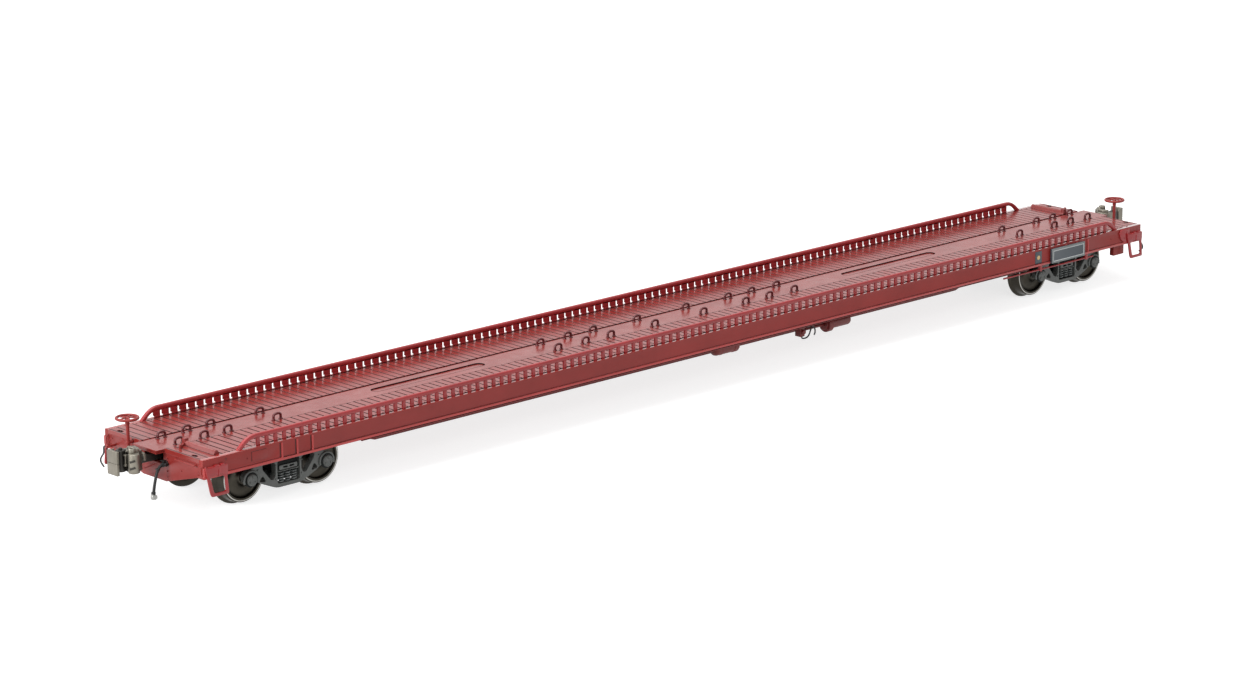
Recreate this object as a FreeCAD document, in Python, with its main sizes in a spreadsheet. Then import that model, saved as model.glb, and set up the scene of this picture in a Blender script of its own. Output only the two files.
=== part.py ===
import FreeCAD, Part
import math
import os
import re
import Sketcher

# A scale model of a long flat wagon that carries road trailers, at one to 87.
# X runs along the wagon, Y across it and Z up. Z = 0 is the bottom of the wheel flanges.
# The wagon is the same after half a turn about Z: end A lies at -X, end B at +X.

os.makedirs("parts", exist_ok=True)
doc = FreeCAD.newDocument("flatcar")
dims = doc.addObject("Spreadsheet::Sheet", "dims")

sizes = {
    # Body, all in millimetres
    "body_long": 262.5, "deck_wide": 29.7, "deck_top": 12.33, "deck_thick": 0.7,
    "plank_pitch": 1.7, "plank_groove": 0.32, "plank_start": 5.4, "plank_stop": 2.3,
    "strip_wide": 6.9, "strip_bulge": 1.9, "strip_groove": 0.22, "groove_deep": 0.16,
    "oval_at": 65.0, "oval_long": 28.6, "oval_wide": 2.7, "oval_line": 0.24,
    "oval_slot_gap": 14.0, "oval_slot_long": 1.0, "oval_slot_wide": 0.35,
    "hole_in": 1.0, "hole_y": 11.3, "hole_long": 0.6, "hole_wide": 1.6, "hole_deep": 0.5,
    # Side sills
    "sill_tall": 3.63, "sill_thick": 1.0, "lip_out": 0.3, "lip_tall": 0.5, "lip_in": 0.64,
    "rib_pitch": 3.6, "rib_wide": 0.35, "rib_out": 0.26, "rib_gap": 0.3, "pad_in": 13.0,
    "pad_long": 3.5, "pad_tall": 1.7, "pad_out": 0.13, "pad_rise": 1.2,
    # Side rails
    "rail_set": 0.55, "rail_thick": 0.6, "rail_in": 8.3, "rail_tall": 2.35, "cap_wide": 0.84,
    "cap_tall": 0.82, "slot_pitch": 2.05, "slot_wide": 1.05, "slot_foot": 0.14,
    "bend_long": 4.5, "bend_lean": 1.5, "foot_long": 0.95,
    # End sills, with a grab iron
    "end_thick": 0.9, "end_deep": 6.38, "end_flat": 7.0, "band_tall": 0.95, "band_out": 0.15,
    "mouth_wide": 5.8, "mouth_tall": 2.5, "grab_y": 7.0, "grab_long": 6.0, "grab_out": 0.7,
    "grab_wire": 0.25, "grab_z": 11.05,
    # Centre sill and what lies under the deck
    "spine_wide": 7.4, "spine_bottom": 3.9, "spine_end": 8.65, "flat_in": 49.25,
    "rise_in": 33.25, "flange_out": 0.3, "flange_tall": 0.4,
    "bearer_count": 7, "bearer_in": 1.0, "bearer_thick": 0.8, "bearer_root": 5.1,
    "bearer_tip": 1.9, "bolster_thick": 3.2, "bolster_tip": 2.2, "bolster_ledge": 2.6,
    # Tie-down loops, set in from the strip's edge
    "loop_set": 0.8, "loop_wide": 1.7, "loop_tall": 1.18, "loop_wire": 0.42,
    # Hinge bar for the bridge plate, with its post and lug
    "hinge_in": 4.4, "hinge_base": 1.3, "hinge_start": 0.15, "hinge_stop": 1.55, "hinge_r": 0.46,
    "hinge_rise": 0.3, "knob_long": 0.8, "knob_tall": 1.15, "post_out": 2.35, "post_back": 2.0,
    "post_wide": 0.56, "post_tall": 0.8, "lug_long": 2.3, "lug_wide": 0.3, "lug_tall": 0.4,
    # Hand brake
    "brake_y": 6.2, "brake_out": 0.75, "brake_z": 16.3, "brake_r": 2.3, "brake_rim": 0.4,
    "brake_tall": 0.35, "spoke_count": 5, "spoke_wide": 0.3, "spoke_tall": 0.26, "brake_hub": 0.48,
    "hub_tall": 0.6, "stem_r": 0.26, "stem_low": 9.6, "clip_wide": 0.9, "clip_tall": 0.5,
    "clip_low": 0.3,
    # Sill steps
    "step_in": 0.35, "step_wide": 4.0, "step_low": 5.2, "step_strap": 0.5, "step_lean": 0.75,
    "step_plate": 2.15, "step_thick": 0.32,
    # Trucks
    "truck_in": 21.75, "wheel_base": 17.8, "tread_r": 4.82, "flange_r": 5.45, "back_gap": 14.4,
    "tyre_wide": 2.8, "flange_wide": 0.72, "cone": 0.06, "rim_deep": 0.85, "dish": 0.75,
    "valley_r": 2.3, "hub_r": 1.2, "hub_out": 0.3, "axle_r": 0.8, "journal_r": 0.6,
    "journal_fit": 0.05, "journal_seat": 0.8,
    "frame_gap": 0.7, "frame_thick": 1.6, "frame_top": 8.4, "frame_low": 2.45, "sole_half": 2.9,
    "chord_tall": 0.95, "bay_half": 2.75, "column": 0.6, "box_half": 1.35, "box_drop": 0.75,
    "cap_r": 1.25, "cap_out": 0.65, "bolster_low": 5.6, "bolster_top": 7.3, "bolster_half": 2.3,
    "bolster_set": 0.2, "plate_r": 2.2, "plate_tall": 0.45, "plate_fit": 0.05, "pin_r": 0.9,
    "pin_fit": 0.1, "pin_head_r": 1.7, "pin_head": 0.8,
    "spring_r": 0.72, "spring_pitch": 1.72, "spring_low": 3.7,
    "shoe_gap": 0.14, "shoe_wide": 1.3, "shoe_lap": 0.3, "beam_out": 3.2, "beam_thick": 0.6,
    "beam_low": 4.6, "beam_tall": 0.7,
    # Couplers
    "draft_long": 11.75, "draft_wide": 6.4, "draft_wall": 0.4, "draft_gap": 0.1,
    "pivot_in": 8.25, "shank_low": 9.6, "shank_tall": 1.5, "shank_wide": 1.8, "post_r": 0.7,
    "post_fit": 0.06, "ring_r": 1.6, "collar_at": 10.3, "collar_r": 0.95, "collar_long": 0.3,
    "head_low": 8.0, "head_tall": 5.0, "head_back": 11.1, "neck_half": 1.45, "head_half": 2.6,
    "head_taper": 1.6, "throat_in": 12.9, "lug_edge": 0.5, "guard_y": 2.0, "guard_r": 1.3,
    "guard_low": 8.6, "guard_tall": 3.6,
    "slit_long": 0.6, "slit_wide": 1.3, "slit_tall": 0.4, "slit_pitch": 1.0,
    "knuckle_x": 14.3, "knuckle_y": 1.75, "knuckle_r": 0.95, "knuckle_pin": 0.35,
    "knuckle_fit": 0.08, "knuckle_low": 8.06, "knuckle_tall": 4.6, "nose_out": 2.6,
    "nose_thick": 1.0, "nose_tip": 0.08, "nose_round": 0.4,
    # Air hose and uncoupling lever
    "hose_y": 4.0, "hose_r": 0.4, "hose_out": 0.9, "cock_z": 9.45, "cock_r": 0.45,
    "lever_out": 1.75, "lever_r": 0.18, "lever_y": 3.0, "lever_z": 9.8, "lever_end": 12.95,
    "eye_wide": 0.4, "eye_tall": 0.5, "eye_in": 1.2,
    # Underbody gear
    "gear_y": 8.0, "gear_hang": 1.0, "strap_wide": 2.3, "tank_at": 6.5, "tank_long": 16.0,
    "tank_r": 1.3, "tank_z": 6.2, "strap_thick": 0.6, "cylinder_long": 7.6, "cylinder_r": 1.25,
    "cylinder_z": 5.4, "cover_out": 0.3, "cover_thick": 0.5, "ram_r": 0.35, "valve_out": 3.2,
    "valve_long": 2.2, "valve_wide": 1.8, "valve_tall": 2.4, "valve_neck": 0.8,
    # Rods and blank plates on the side
    "rod_r": 0.2, "rod_low": 1.05, "rod_in": 25.75, "rod_long": 19.0, "rod_set": 0.44,
    "rod_tail": 10.0, "tail_r": 0.12, "hanger_gap": 15.2, "hanger_long": 0.9, "hanger_wide": 0.7,
    "plate_in": 25.45, "plate_long": 10.9, "plate_high": 3.2, "plate_thick": 0.62, "plate_rise": 0.05,
}

for row, (alias, value) in enumerate(sizes.items(), start=1):
    dims.set(f"A{row}", alias)
    dims.set(f"B{row}", str(value))
    dims.setAlias(f"B{row}", alias)
doc.recompute()

pieces = []


def tied(text):
    """An expression whose size names point into the sheet."""
    return re.sub(r"[a-z][a-z0-9_]*", lambda w: "dims." + w.group() if w.group() in sizes else w.group(),
                  str(text))


def bind(thing, **sizes_by_name):
    for name, text in sizes_by_name.items():
        thing.setExpression(name, tied(text))
    return thing


def place(thing, x=0, y=0, z=0, turn=0, axis=(0, 0, 1)):
    """Stands a piece at x, y, z, turned by so many degrees about an axis."""
    thing.Placement = FreeCAD.Placement(FreeCAD.Vector(), FreeCAD.Rotation(FreeCAD.Vector(*axis), turn))
    for name, text in (("x", x), ("y", y), ("z", z)):
        thing.setExpression("Placement.Base." + name, tied(text))
    return thing


def node(thing, label):
    """Names a finished sub-part and keeps it for writing."""
    thing.Label = label
    pieces.append(thing)
    return thing


def box(x, y, z, long, wide, tall, turn=0):
    """A block that runs from x, centred on y and standing on z, turned about its start."""
    block = bind(doc.addObject("Part::Box", "block"), Length=long, Width=wide, Height=tall)
    across = math.sin(math.radians(turn)) / 2
    along = math.cos(math.radians(turn)) / 2
    return place(block, f"({x}) + ({wide}) * {across}", f"({y}) - ({wide}) * {along}", z, turn)


def rod(x, y, z, radius, long, axis="Z"):
    """A round bar that starts at x, y, z and runs along one axis."""
    bar = bind(doc.addObject("Part::Cylinder", "bar"), Radius=radius, Height=long)
    turns = {"Z": (0, (0, 0, 1)), "X": (90, (0, 1, 0)), "Y": (-90, (1, 0, 0))}
    return place(bar, x, y, z, *turns[axis])


def fuse(*shapes):
    whole = doc.addObject("Part::MultiFuse", "joined")
    whole.Shapes = list(shapes)
    return whole


def group(*shapes):
    """Like pieces that don't touch, kept in one sub-part."""
    whole = doc.addObject("Part::Compound", "set")
    whole.Links = list(shapes)
    return whole


def cut(base, *tools):
    for tool in tools:
        left = doc.addObject("Part::Cut", "cut")
        left.Base, left.Tool = base, tool
        base = left
    return base


def origin(body, role):
    return next(f for f in body.Origin.OriginFeatures if f.Role == role)


def outline(body, role, points, lift="0", closed=True):
    """A sketch of straight lines, each corner tied to a pair of expressions."""
    sketch = body.newObject("Sketcher::SketchObject", "outline")
    sketch.AttachmentSupport = [(origin(body, role), "")]
    sketch.MapMode = "FlatFace"
    count = len(points)
    start = [FreeCAD.Vector(9 * math.cos(2 * math.pi * i / count), 9 * math.sin(2 * math.pi * i / count))
             for i in range(count)]
    lines = count if closed else count - 1
    sketch.addGeometry([Part.LineSegment(start[i], start[(i + 1) % count]) for i in range(lines)], False)
    sketch.addConstraint([Sketcher.Constraint("Coincident", i, 2, (i + 1) % count, 1)
                          for i in range(lines if closed else lines - 1)])
    for i, corner in enumerate(points):
        line, line_end = (i, 1) if i < lines else (i - 1, 2)
        for kind, text in zip(("DistanceX", "DistanceY"), corner):
            number = sketch.addConstraint(Sketcher.Constraint(kind, -1, 1, line, line_end, 1.0))
            sketch.setExpression(f"Constraints[{number}]", tied(text))
    sketch.setExpression("AttachmentOffset.Base.z", tied(lift))
    return sketch


def pad(body, role, points, thick, lift="0"):
    """Adds a slab of one thickness, centred on its sketch."""
    slab = body.newObject("PartDesign::Pad", "slab")
    slab.Profile = outline(body, role, points, lift)
    slab.SideType = "Symmetric"
    return bind(slab, Length=thick)


def pocket(body, role, points, deep=None, lift="0"):
    """Takes away a slab centred on its sketch, or all the way through."""
    hole = body.newObject("PartDesign::Pocket", "hole")
    hole.Profile = outline(body, role, points, lift)
    hole.SideType = "Symmetric"
    if deep is None:
        hole.Type = "ThroughAll"
    else:
        bind(hole, Length=deep)
    return hole


def repeat(body, feature, role, span, count):
    row = body.newObject("PartDesign::LinearPattern", "row")
    row.Originals = [feature]
    row.Direction = (origin(body, role), [""])
    bind(row, Length=span, Occurrences=count)
    body.Tip = row
    return row


def rect(x0, y0, x1, y1):
    return [(x0, y0), (x1, y0), (x1, y1), (x0, y1)]


def new_body():
    return doc.addObject("PartDesign::Body", "body")


def ring_of(count, radius, start=0.0, sweep=360.0):
    """Pairs of expressions for points spaced along an arc about the sketch's origin."""
    angles = [math.radians(start + sweep * i / count) for i in range(count)]
    return [(f"({radius}) * {math.cos(a):.5f}", f"({radius}) * {math.sin(a):.5f}") for a in angles]


def wire(route_role, route, lift, section_role, centre, start, radius):
    """A bent wire or hose with eight flats, swept along a route that lies in one plane."""
    body = new_body()
    swept = body.newObject("PartDesign::AdditivePipe", "swept")
    swept.Profile = outline(body, section_role,
                            [(f"{centre[0]} + {u}", f"{centre[1]} + {v}") for u, v in ring_of(8, radius, 22.5)],
                            start)
    swept.Spine = outline(body, route_role, route, lift, closed=False)
    swept.Transition = "Right corner"
    return body


half = "body_long / 2"
under = "(deck_top - deck_thick)"
sill_low = "(deck_top - sill_tall)"
lip_top = "(deck_top - sill_tall + lip_tall)"
face = "(deck_wide / 2)"
inner = "(deck_wide / 2 - sill_thick)"
truck_at = "(body_long / 2 - truck_in)"
spine_tip = "(body_long / 2 - draft_long)"
ends = (("a", 180, -1), ("b", 0, 1))
sides = (("near", 0), ("far", 180))

# Deck: two planked panels with a groove at each plank edge and one along the centre strip
for side, turn in sides:
    panel = new_body()
    pad(panel, "XY_Plane",
        rect(f"-{half}", f"-{inner}", half, "-strip_wide / 2"), "deck_thick", "deck_top - deck_thick / 2")
    pocket(panel, "YZ_Plane",
           rect("-strip_wide / 2 - strip_groove", "deck_top - groove_deep", "-strip_wide / 2 + 1",
                "deck_top + 1"))
    for sign in ("-", ""):
        hole_x = f"{sign}({half} - hole_in)"
        pocket(panel, "XY_Plane",
               rect(f"{hole_x} - hole_long / 2", "-hole_y - hole_wide / 2",
                    f"{hole_x} + hole_long / 2", "-hole_y + hole_wide / 2"), "2 * hole_deep", "deck_top")
    first = f"(plank_start - {half})"
    line = pocket(panel, "XZ_Plane",
                  [(f"{first} - plank_groove / 2", "deck_top + 0.01"),
                   (f"{first} + plank_groove / 2", "deck_top + 0.01"), (first, "deck_top - groove_deep")])
    repeat(panel, line, "X_Axis",
           "plank_pitch * (floor((body_long - plank_start - plank_stop) / plank_pitch))",
           "floor((body_long - plank_start - plank_stop) / plank_pitch) + 1")
    place(panel, turn=turn)
    node(panel, "deck_" + side)

# Centre strip: a smooth plate whose rounded ends stand out over the couplers
strip = fuse(
    box(f"-{half}", 0, under, "body_long", "strip_wide", "deck_thick"),
    rod(f"{half} + strip_bulge - strip_wide / 2", 0, under, "strip_wide / 2", "deck_thick"),
    rod(f"-{half} - strip_bulge + strip_wide / 2", 0, under, "strip_wide / 2", "deck_thick"))


def oval(x, long, wide, z, tall):
    """An upright slab with round ends, lying along X."""
    return fuse(box(f"({x}) - (({long}) - ({wide})) / 2", 0, z, f"({long}) - ({wide})", wide, tall),
                rod(f"({x}) - (({long}) - ({wide})) / 2", 0, z, f"({wide}) / 2", tall),
                rod(f"({x}) + (({long}) - ({wide})) / 2", 0, z, f"({wide}) / 2", tall))


for x in ("-oval_at", "oval_at"):
    ring = cut(oval(x, "oval_long", "oval_wide", "deck_top - groove_deep", "deck_thick"),
               oval(x, "oval_long - 2 * oval_line", "oval_wide - 2 * oval_line", "deck_top - deck_thick",
                    "2 * deck_thick"))
    strip = cut(strip, ring)
    for gap in ("-", "+"):
        strip = cut(strip, box(f"{x} {gap} oval_slot_gap / 2 - oval_slot_long / 2",
                               "-oval_wide / 2 + oval_slot_wide", "deck_top - 2 * groove_deep",
                               "oval_slot_long", "oval_slot_wide", "deck_thick"))
node(strip, "centre_strip")

# Side sills: a web with a lip both ways, three stiffening ribs over each truck and step plates
for side, turn in sides:
    sill = new_body()
    pad(sill, "YZ_Plane",
        [(f"-{face}", "deck_top"), (f"-{face}", lip_top), (f"-{face} - lip_out", lip_top),
         (f"-{face} - lip_out", sill_low), (f"-{inner} + lip_in", sill_low), (f"-{inner} + lip_in", lip_top),
         (f"-{inner}", lip_top), (f"-{inner}", "deck_top")], "body_long")
    for centre in ("-", ""):
        for shift in ("- rib_pitch", "", "+ rib_pitch"):
            rib = f"({centre}{truck_at} {shift})"
            pad(sill, "XZ_Plane",
                rect(f"{rib} - rib_wide / 2", f"{sill_low} + lip_tall / 2", f"{rib} + rib_wide / 2",
                     "deck_top - rib_gap"), "2 * rib_out", face)
    pad(sill, "XZ_Plane",
        rect(f"-{half} + pad_in - pad_long / 2", f"{sill_low} + pad_rise",
             f"-{half} + pad_in + pad_long / 2", f"{sill_low} + pad_rise + pad_tall"), "2 * pad_out", face)
    for sign in ("-", ""):
        inside = f"{sign}({half} - step_in - step_wide - step_strap / 2)"
        outside = f"{sign}({half} - step_in + step_strap / 2)"
        pad(sill, "XZ_Plane",
            rect(inside, sill_low, outside, f"{sill_low} + step_plate"), "2 * lip_out", face)
    place(sill, turn=turn)
    node(sill, "side_sill_" + side)

# Side rails: a plate pierced by a row of slots, under a tube whose ends bend down to the deck
rail_half = f"({half} - rail_in)"
rail_top = "(deck_top + rail_tall)"
tube_low = "(deck_top + rail_tall - cap_tall)"
slot_count = f"floor(2 * ({rail_half} - bend_long) / slot_pitch)"
bend_steps = 4


def bend(sign, foot, reach, tall):
    """Points up the bent end of the tube: half a parabola from the deck to the level run."""
    return [(f"{sign}({foot} - ({reach}) * {i / bend_steps:.5f})",
             f"deck_top + ({tall}) * {1 - (1 - i / bend_steps) ** 2:.5f}") for i in range(bend_steps + 1)]


for side, turn in sides:
    rail_y = f"({face} - rail_set - rail_thick / 2)"
    rail = new_body()
    pad(rail, "XZ_Plane",
        rect(f"-{slot_count} * slot_pitch / 2", "deck_top", f"{slot_count} * slot_pitch / 2", tube_low),
        "rail_thick", rail_y)
    outer_left = bend("-", rail_half, "bend_long", "rail_tall")
    outer_right = bend("", rail_half, "bend_long", "rail_tall")
    inner_left = bend("-", f"({rail_half} - foot_long)", "bend_long - bend_lean", "rail_tall - cap_tall")
    inner_right = bend("", f"({rail_half} - foot_long)", "bend_long - bend_lean", "rail_tall - cap_tall")
    pad(rail, "XZ_Plane",
        outer_left + outer_right[::-1] + inner_right + inner_left[::-1], "cap_wide", rail_y)
    first = f"(-{slot_count} * slot_pitch / 2 + (slot_pitch - slot_wide) / 2)"
    slot = pocket(rail, "XZ_Plane",
                  rect(first, "deck_top + slot_foot", f"{first} + slot_wide", tube_low))
    repeat(rail, slot, "X_Axis", f"({slot_count} - 1) * slot_pitch", slot_count)
    place(rail, turn=turn)
    node(rail, "side_rail_" + side)

# End sills: deep in the middle, shallow at the corners, with the coupler's mouth and a grab iron
for end, turn, sign in ends:
    corner = [(f"{inner} - lip_in", sill_low), (f"{inner} - lip_in", lip_top), (inner, lip_top), (inner, under)]
    plate_x = f"({half} - band_out)"
    sill = new_body()
    pad(sill, "YZ_Plane",
        [("end_flat / 2", "deck_top - end_deep")] + corner
        + [(f"-({y})", z) for y, z in corner[::-1]] + [("-end_flat / 2", "deck_top - end_deep")],
        "end_thick - band_out", f"{plate_x} - (end_thick - band_out) / 2")
    pad(sill, "YZ_Plane", rect(f"-{inner}", "deck_top - band_tall", inner, under), "2 * band_out", plate_x)
    pocket(sill, "YZ_Plane",
           rect("-mouth_wide / 2", f"{under} - mouth_tall", "mouth_wide / 2", f"{under} + 1"))
    grab_x = f"({plate_x} + grab_out)"
    grab_end = "(grab_y + grab_long)"
    pad(sill, "XY_Plane",
        [(plate_x, "grab_y"), (grab_x, "grab_y"), (grab_x, grab_end), (plate_x, grab_end),
         (plate_x, f"{grab_end} - grab_wire"), (f"{grab_x} - grab_wire", f"{grab_end} - grab_wire"),
         (f"{grab_x} - grab_wire", "grab_y + grab_wire"), (plate_x, "grab_y + grab_wire")],
        "grab_wire", "grab_z")
    place(sill, turn=turn)
    node(sill, "end_sill_" + end)

# Centre sill: a fish-bellied box with a flange along its lower edge
def belly(up):
    low, high = f"spine_bottom + {up}", f"spine_end + {up}"
    return [(f"-{spine_tip}", high), (f"-({half} - rise_in)", high), (f"-({half} - flat_in)", low),
            (f"{half} - flat_in", low), (f"{half} - rise_in", high), (spine_tip, high)]


spine = new_body()
pad(spine, "XZ_Plane", [(f"-{spine_tip}", under)] + belly("0") + [(spine_tip, under)], "spine_wide")
pad(spine, "XZ_Plane", belly("0") + belly("flange_tall")[::-1], "spine_wide + 2 * flange_out")
node(spine, "centre_sill")

# Cross-bearers: tapered arms from the centre sill to the side sills, along the deep part of the belly
web = "spine_wide / 2"
bearer_pitch = f"(2 * ({half} - flat_in - bearer_in) / (bearer_count - 1))"
bearers = []
for turn in (0, 180):
    for i in range(int(sizes["bearer_count"])):
        arm = new_body()
        pad(arm, "YZ_Plane",
            [(web, under), (web, f"{under} - bearer_root"), (f"{web} + flange_out", f"{under} - bearer_root"),
             (f"{inner} - lip_in", f"{under} - bearer_tip"), (inner, f"{under} - bearer_tip"), (inner, under)],
            "bearer_thick", f"{bearer_pitch} * ({i} - (bearer_count - 1) / 2)")
        bearers.append(place(arm, turn=turn))
node(group(*bearers), "cross_bearers")

# Body bolsters: thick arms over each truck, stepped up over the wheels
for end, turn, sign in ends:
    arms = []
    for flip in (0, 180):
        arm = new_body()
        at = truck_at if flip == turn else f"-{truck_at}"
        flange = f"{web} + flange_out"
        pad(arm, "YZ_Plane",
            [(web, under), (web, "spine_end + flange_tall"), (flange, "spine_end + flange_tall"),
             (flange, "spine_end"), (f"{web} + bolster_ledge", "spine_end"),
             ("back_gap / 2", f"{under} - bolster_tip"), (inner, f"{under} - bolster_tip"), (inner, under)],
            "bolster_thick", at)
        arms.append(place(arm, turn=flip))
    node(group(*arms), "body_bolster_" + end)

# Centre plate and king pin of each truck, carried by the centre sill
for end, turn, sign in ends:
    at = f"{sign} * {truck_at}"
    plate_z = "(bolster_top + plate_tall + plate_fit)"
    pin_z = "(bolster_low - pin_fit - pin_head)"
    pin = fuse(rod(at, 0, plate_z, "plate_r", f"spine_end - {plate_z}"),
               rod(at, 0, pin_z, "pin_r", f"spine_end - {pin_z}"),
               rod(at, 0, pin_z, "pin_head_r", "pin_head"))
    node(pin, "king_pin_" + end)

# Tie-down loops: small arches in pairs, on both edges of the centre strip
end_loops = (3.95, 9.75, 15.25, 26.85)
middle_loops = (6.9, 19.1, 26.0, 33.4)
crown = 7


def arch(x, y):
    """A wire bent into an arch, its feet on the deck."""
    def bow(wide, tall):
        return [(f"{x} + ({wide}) * {math.cos(math.pi * i / (crown - 1)):.5f}",
                 f"deck_top + ({tall}) * {math.sin(math.pi * i / (crown - 1)):.5f}") for i in range(crown)]
    body = new_body()
    pad(body, "XZ_Plane",
        bow("(loop_wide + loop_wire) / 2", "loop_tall")
        + bow("(loop_wide - loop_wire) / 2", "loop_tall - loop_wire")[::-1], "loop_wire", y)
    return body


loop_groups = {"a": [f"-({half} - {inset})" for inset in end_loops],
               "mid": [f"{sign}{x}" for sign in ("-", "") for x in middle_loops],
               "b": [f"({half} - {inset})" for inset in end_loops]}
for name, places in loop_groups.items():
    loop_y = "(strip_wide / 2 - loop_set)"
    node(group(*[arch(x, y) for x in places for y in (f"-{loop_y}", loop_y)]), "tie_loops_" + name)

# Hinge bar where a bridge plate would hook on: a half-round bar, a knob, and a post with its lug
for end, turn, sign in ends:
    bar_x = f"({half} - hinge_in)"
    bar_start = "(strip_wide / 2 + hinge_start)"
    bar_stop = f"({face} - hinge_stop)"
    bar = new_body()
    dome = [(f"{bar_x} - {u}", f"deck_top + hinge_rise + {v}") for u, v in ring_of(6, "hinge_r", 0, 180)]
    pad(bar, "XZ_Plane",
        [(f"{bar_x} - hinge_base / 2", "deck_top")] + dome
        + [(f"{bar_x} + hinge_r", "deck_top + hinge_rise"), (f"{bar_x} + hinge_base / 2", "deck_top")],
        f"{bar_stop} - {bar_start}", f"-({bar_start} + {bar_stop}) / 2")
    post_x, post_y = f"({bar_x} + post_out)", f"({bar_start} + post_back)"
    whole = fuse(bar,
                 box(f"{bar_x} - hinge_r", f"{bar_start} + knob_long / 2", "deck_top", "2 * hinge_r",
                     "knob_long", "knob_tall"),
                 rod(post_x, post_y, "deck_top", "post_wide / 2", "post_tall"),
                 box(post_x, post_y, "deck_top", "lug_long", "lug_wide", "lug_tall", 216))
    node(place(whole, turn=turn), "hinge_bar_" + end)

# Hand brake: an upright stem beside the end sill with a flat spoked wheel on top
for end, turn, sign in ends:
    x = f"({half} + brake_out)"
    rim = cut(rod(x, "-brake_y", "brake_z - brake_tall / 2", "brake_r", "brake_tall"),
              rod(x, "-brake_y", "brake_z - brake_tall", "brake_r - brake_rim", "2 * brake_tall"))
    count = int(sizes["spoke_count"])
    spokes = [box(x, "-brake_y", "brake_z - spoke_tall / 2", "brake_r - brake_rim / 2", "spoke_wide",
                  "spoke_tall", 360 / count * i) for i in range(count)]
    wheel = fuse(rim, *spokes,
                 rod(x, "-brake_y", "brake_z - hub_tall / 2", "brake_hub", "hub_tall"),
                 rod(x, "-brake_y", "stem_low", "stem_r", "brake_z - stem_low"),
                 box(f"{half} - band_out", "-brake_y", "stem_low + clip_low", "brake_out + band_out",
                     "clip_wide", "clip_tall"),
                 box(half, "-brake_y", "deck_top - band_tall", "brake_out", "clip_wide", "clip_tall"))
    node(place(wheel, turn=turn), "hand_brake_" + end)

# Sill steps: straps bent into stirrups under each corner
steps = []
for turn in (0, 180):
    for sign in ("-", ""):
        stirrup = new_body()
        out, back = f"({half} - step_in)", f"({half} - step_in - step_wide)"
        top = f"{sill_low} + step_plate"
        tread = "step_low + step_strap"
        pad(stirrup, "XZ_Plane",
            [(f"{sign}({out} + step_strap / 2)", top), (f"{sign}({out} + step_strap / 2)", sill_low),
             (f"{sign}({out} + step_strap / 2 - step_lean)", "step_low"),
             (f"{sign}({back} - step_strap / 2 - step_lean / 2)", "step_low"),
             (f"{sign}({back} - step_strap / 2)", sill_low), (f"{sign}({back} - step_strap / 2)", top),
             (f"{sign}({back} + step_strap / 2)", top), (f"{sign}({back} + step_strap / 2)", sill_low),
             (f"{sign}({back} + step_strap / 2 - step_lean / 2)", tread),
             (f"{sign}({out} - step_strap / 2 - step_lean)", tread),
             (f"{sign}({out} - step_strap / 2)", sill_low), (f"{sign}({out} - step_strap / 2)", top)],
            "step_thick", f"{face} + lip_out + step_thick / 2")
        steps.append(place(stirrup, turn=turn))
node(group(*steps), "sill_steps")

# Draft boxes: hollow housings behind the coupler mouths, with the pivot post
for end, turn, sign in ends:
    hollow_z = "(spine_end + draft_wall)"
    hollow_tall = f"({under} - spine_end - 2 * draft_wall)"
    housing = cut(box(spine_tip, 0, "spine_end", "draft_long - end_thick", "draft_wide",
                      f"{under} - spine_end"),
                  box(f"{spine_tip} + draft_wall", 0, hollow_z, "draft_long",
                      "mouth_wide - 2 * draft_gap", hollow_tall))
    post = rod(f"{half} - pivot_in", 0, hollow_z, "post_r", hollow_tall)
    node(place(fuse(housing, post), turn=turn), "draft_box_" + end)

# Couplers: a shank that swings on the post, and a head with its guard arm and the knuckle's pin
pivot = f"({half} - pivot_in)"
hinge_x, hinge_y = f"({pivot} + knuckle_x)", "-knuckle_y"
for end, turn, sign in ends:
    knuckle_top = "(knuckle_low + knuckle_tall)"
    lug_z = f"({knuckle_top} + knuckle_fit)"
    head_top = "(head_low + head_tall)"
    throat = "knuckle_x - knuckle_r / 3"
    head = new_body()
    pad(head, "XY_Plane",
        [("head_back", "-neck_half"), ("head_back + head_taper", "-head_half"), (throat, "-head_half"),
         (throat, "-lug_edge"), ("throat_in", "-lug_edge"), ("throat_in", "knuckle_r"),
         ("knuckle_x", "knuckle_r + 0.3"), ("head_back + head_taper", "head_half"),
         ("head_back", "neck_half")], "head_tall", "head_low + head_tall / 2")
    place(head, pivot)
    seat = rod(hinge_x, hinge_y, "head_low", "knuckle_r + knuckle_fit", f"{lug_z} - head_low")
    guard_x = f"({pivot} + knuckle_x - 0.2)"
    guard = rod(guard_x, "guard_y", "guard_low", "guard_r", "guard_tall")
    slits = [box(f"{guard_x} + (guard_r - slit_long) * 0.7071", "guard_y + (guard_r - slit_long) * 0.7071",
                 f"guard_low + guard_tall / 2 + slit_pitch * {i} - slit_tall / 2", "2 * slit_long", "slit_wide",
                 "slit_tall", 45) for i in (-0.5, 0.5)]
    shank_mid = "(shank_low + shank_tall / 2)"
    bare = cut(fuse(head, guard, rod(pivot, 0, "shank_low", "ring_r", "shank_tall"),
                    box(pivot, 0, "shank_low", "head_back + shank_wide / 2", "shank_wide", "shank_tall"),
                    rod(f"{pivot} + collar_at", 0, shank_mid, "collar_r", "collar_long", "X")),
               rod(pivot, 0, "shank_low", "post_r + post_fit", "shank_tall"), seat, *slits)
    hung = fuse(bare, rod(hinge_x, hinge_y, lug_z, "knuckle_r", f"{head_top} - {lug_z}"),
                rod(hinge_x, hinge_y, "knuckle_low", "knuckle_pin", f"{lug_z} - knuckle_low"))
    node(place(hung, turn=turn), "coupler_" + end)

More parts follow.
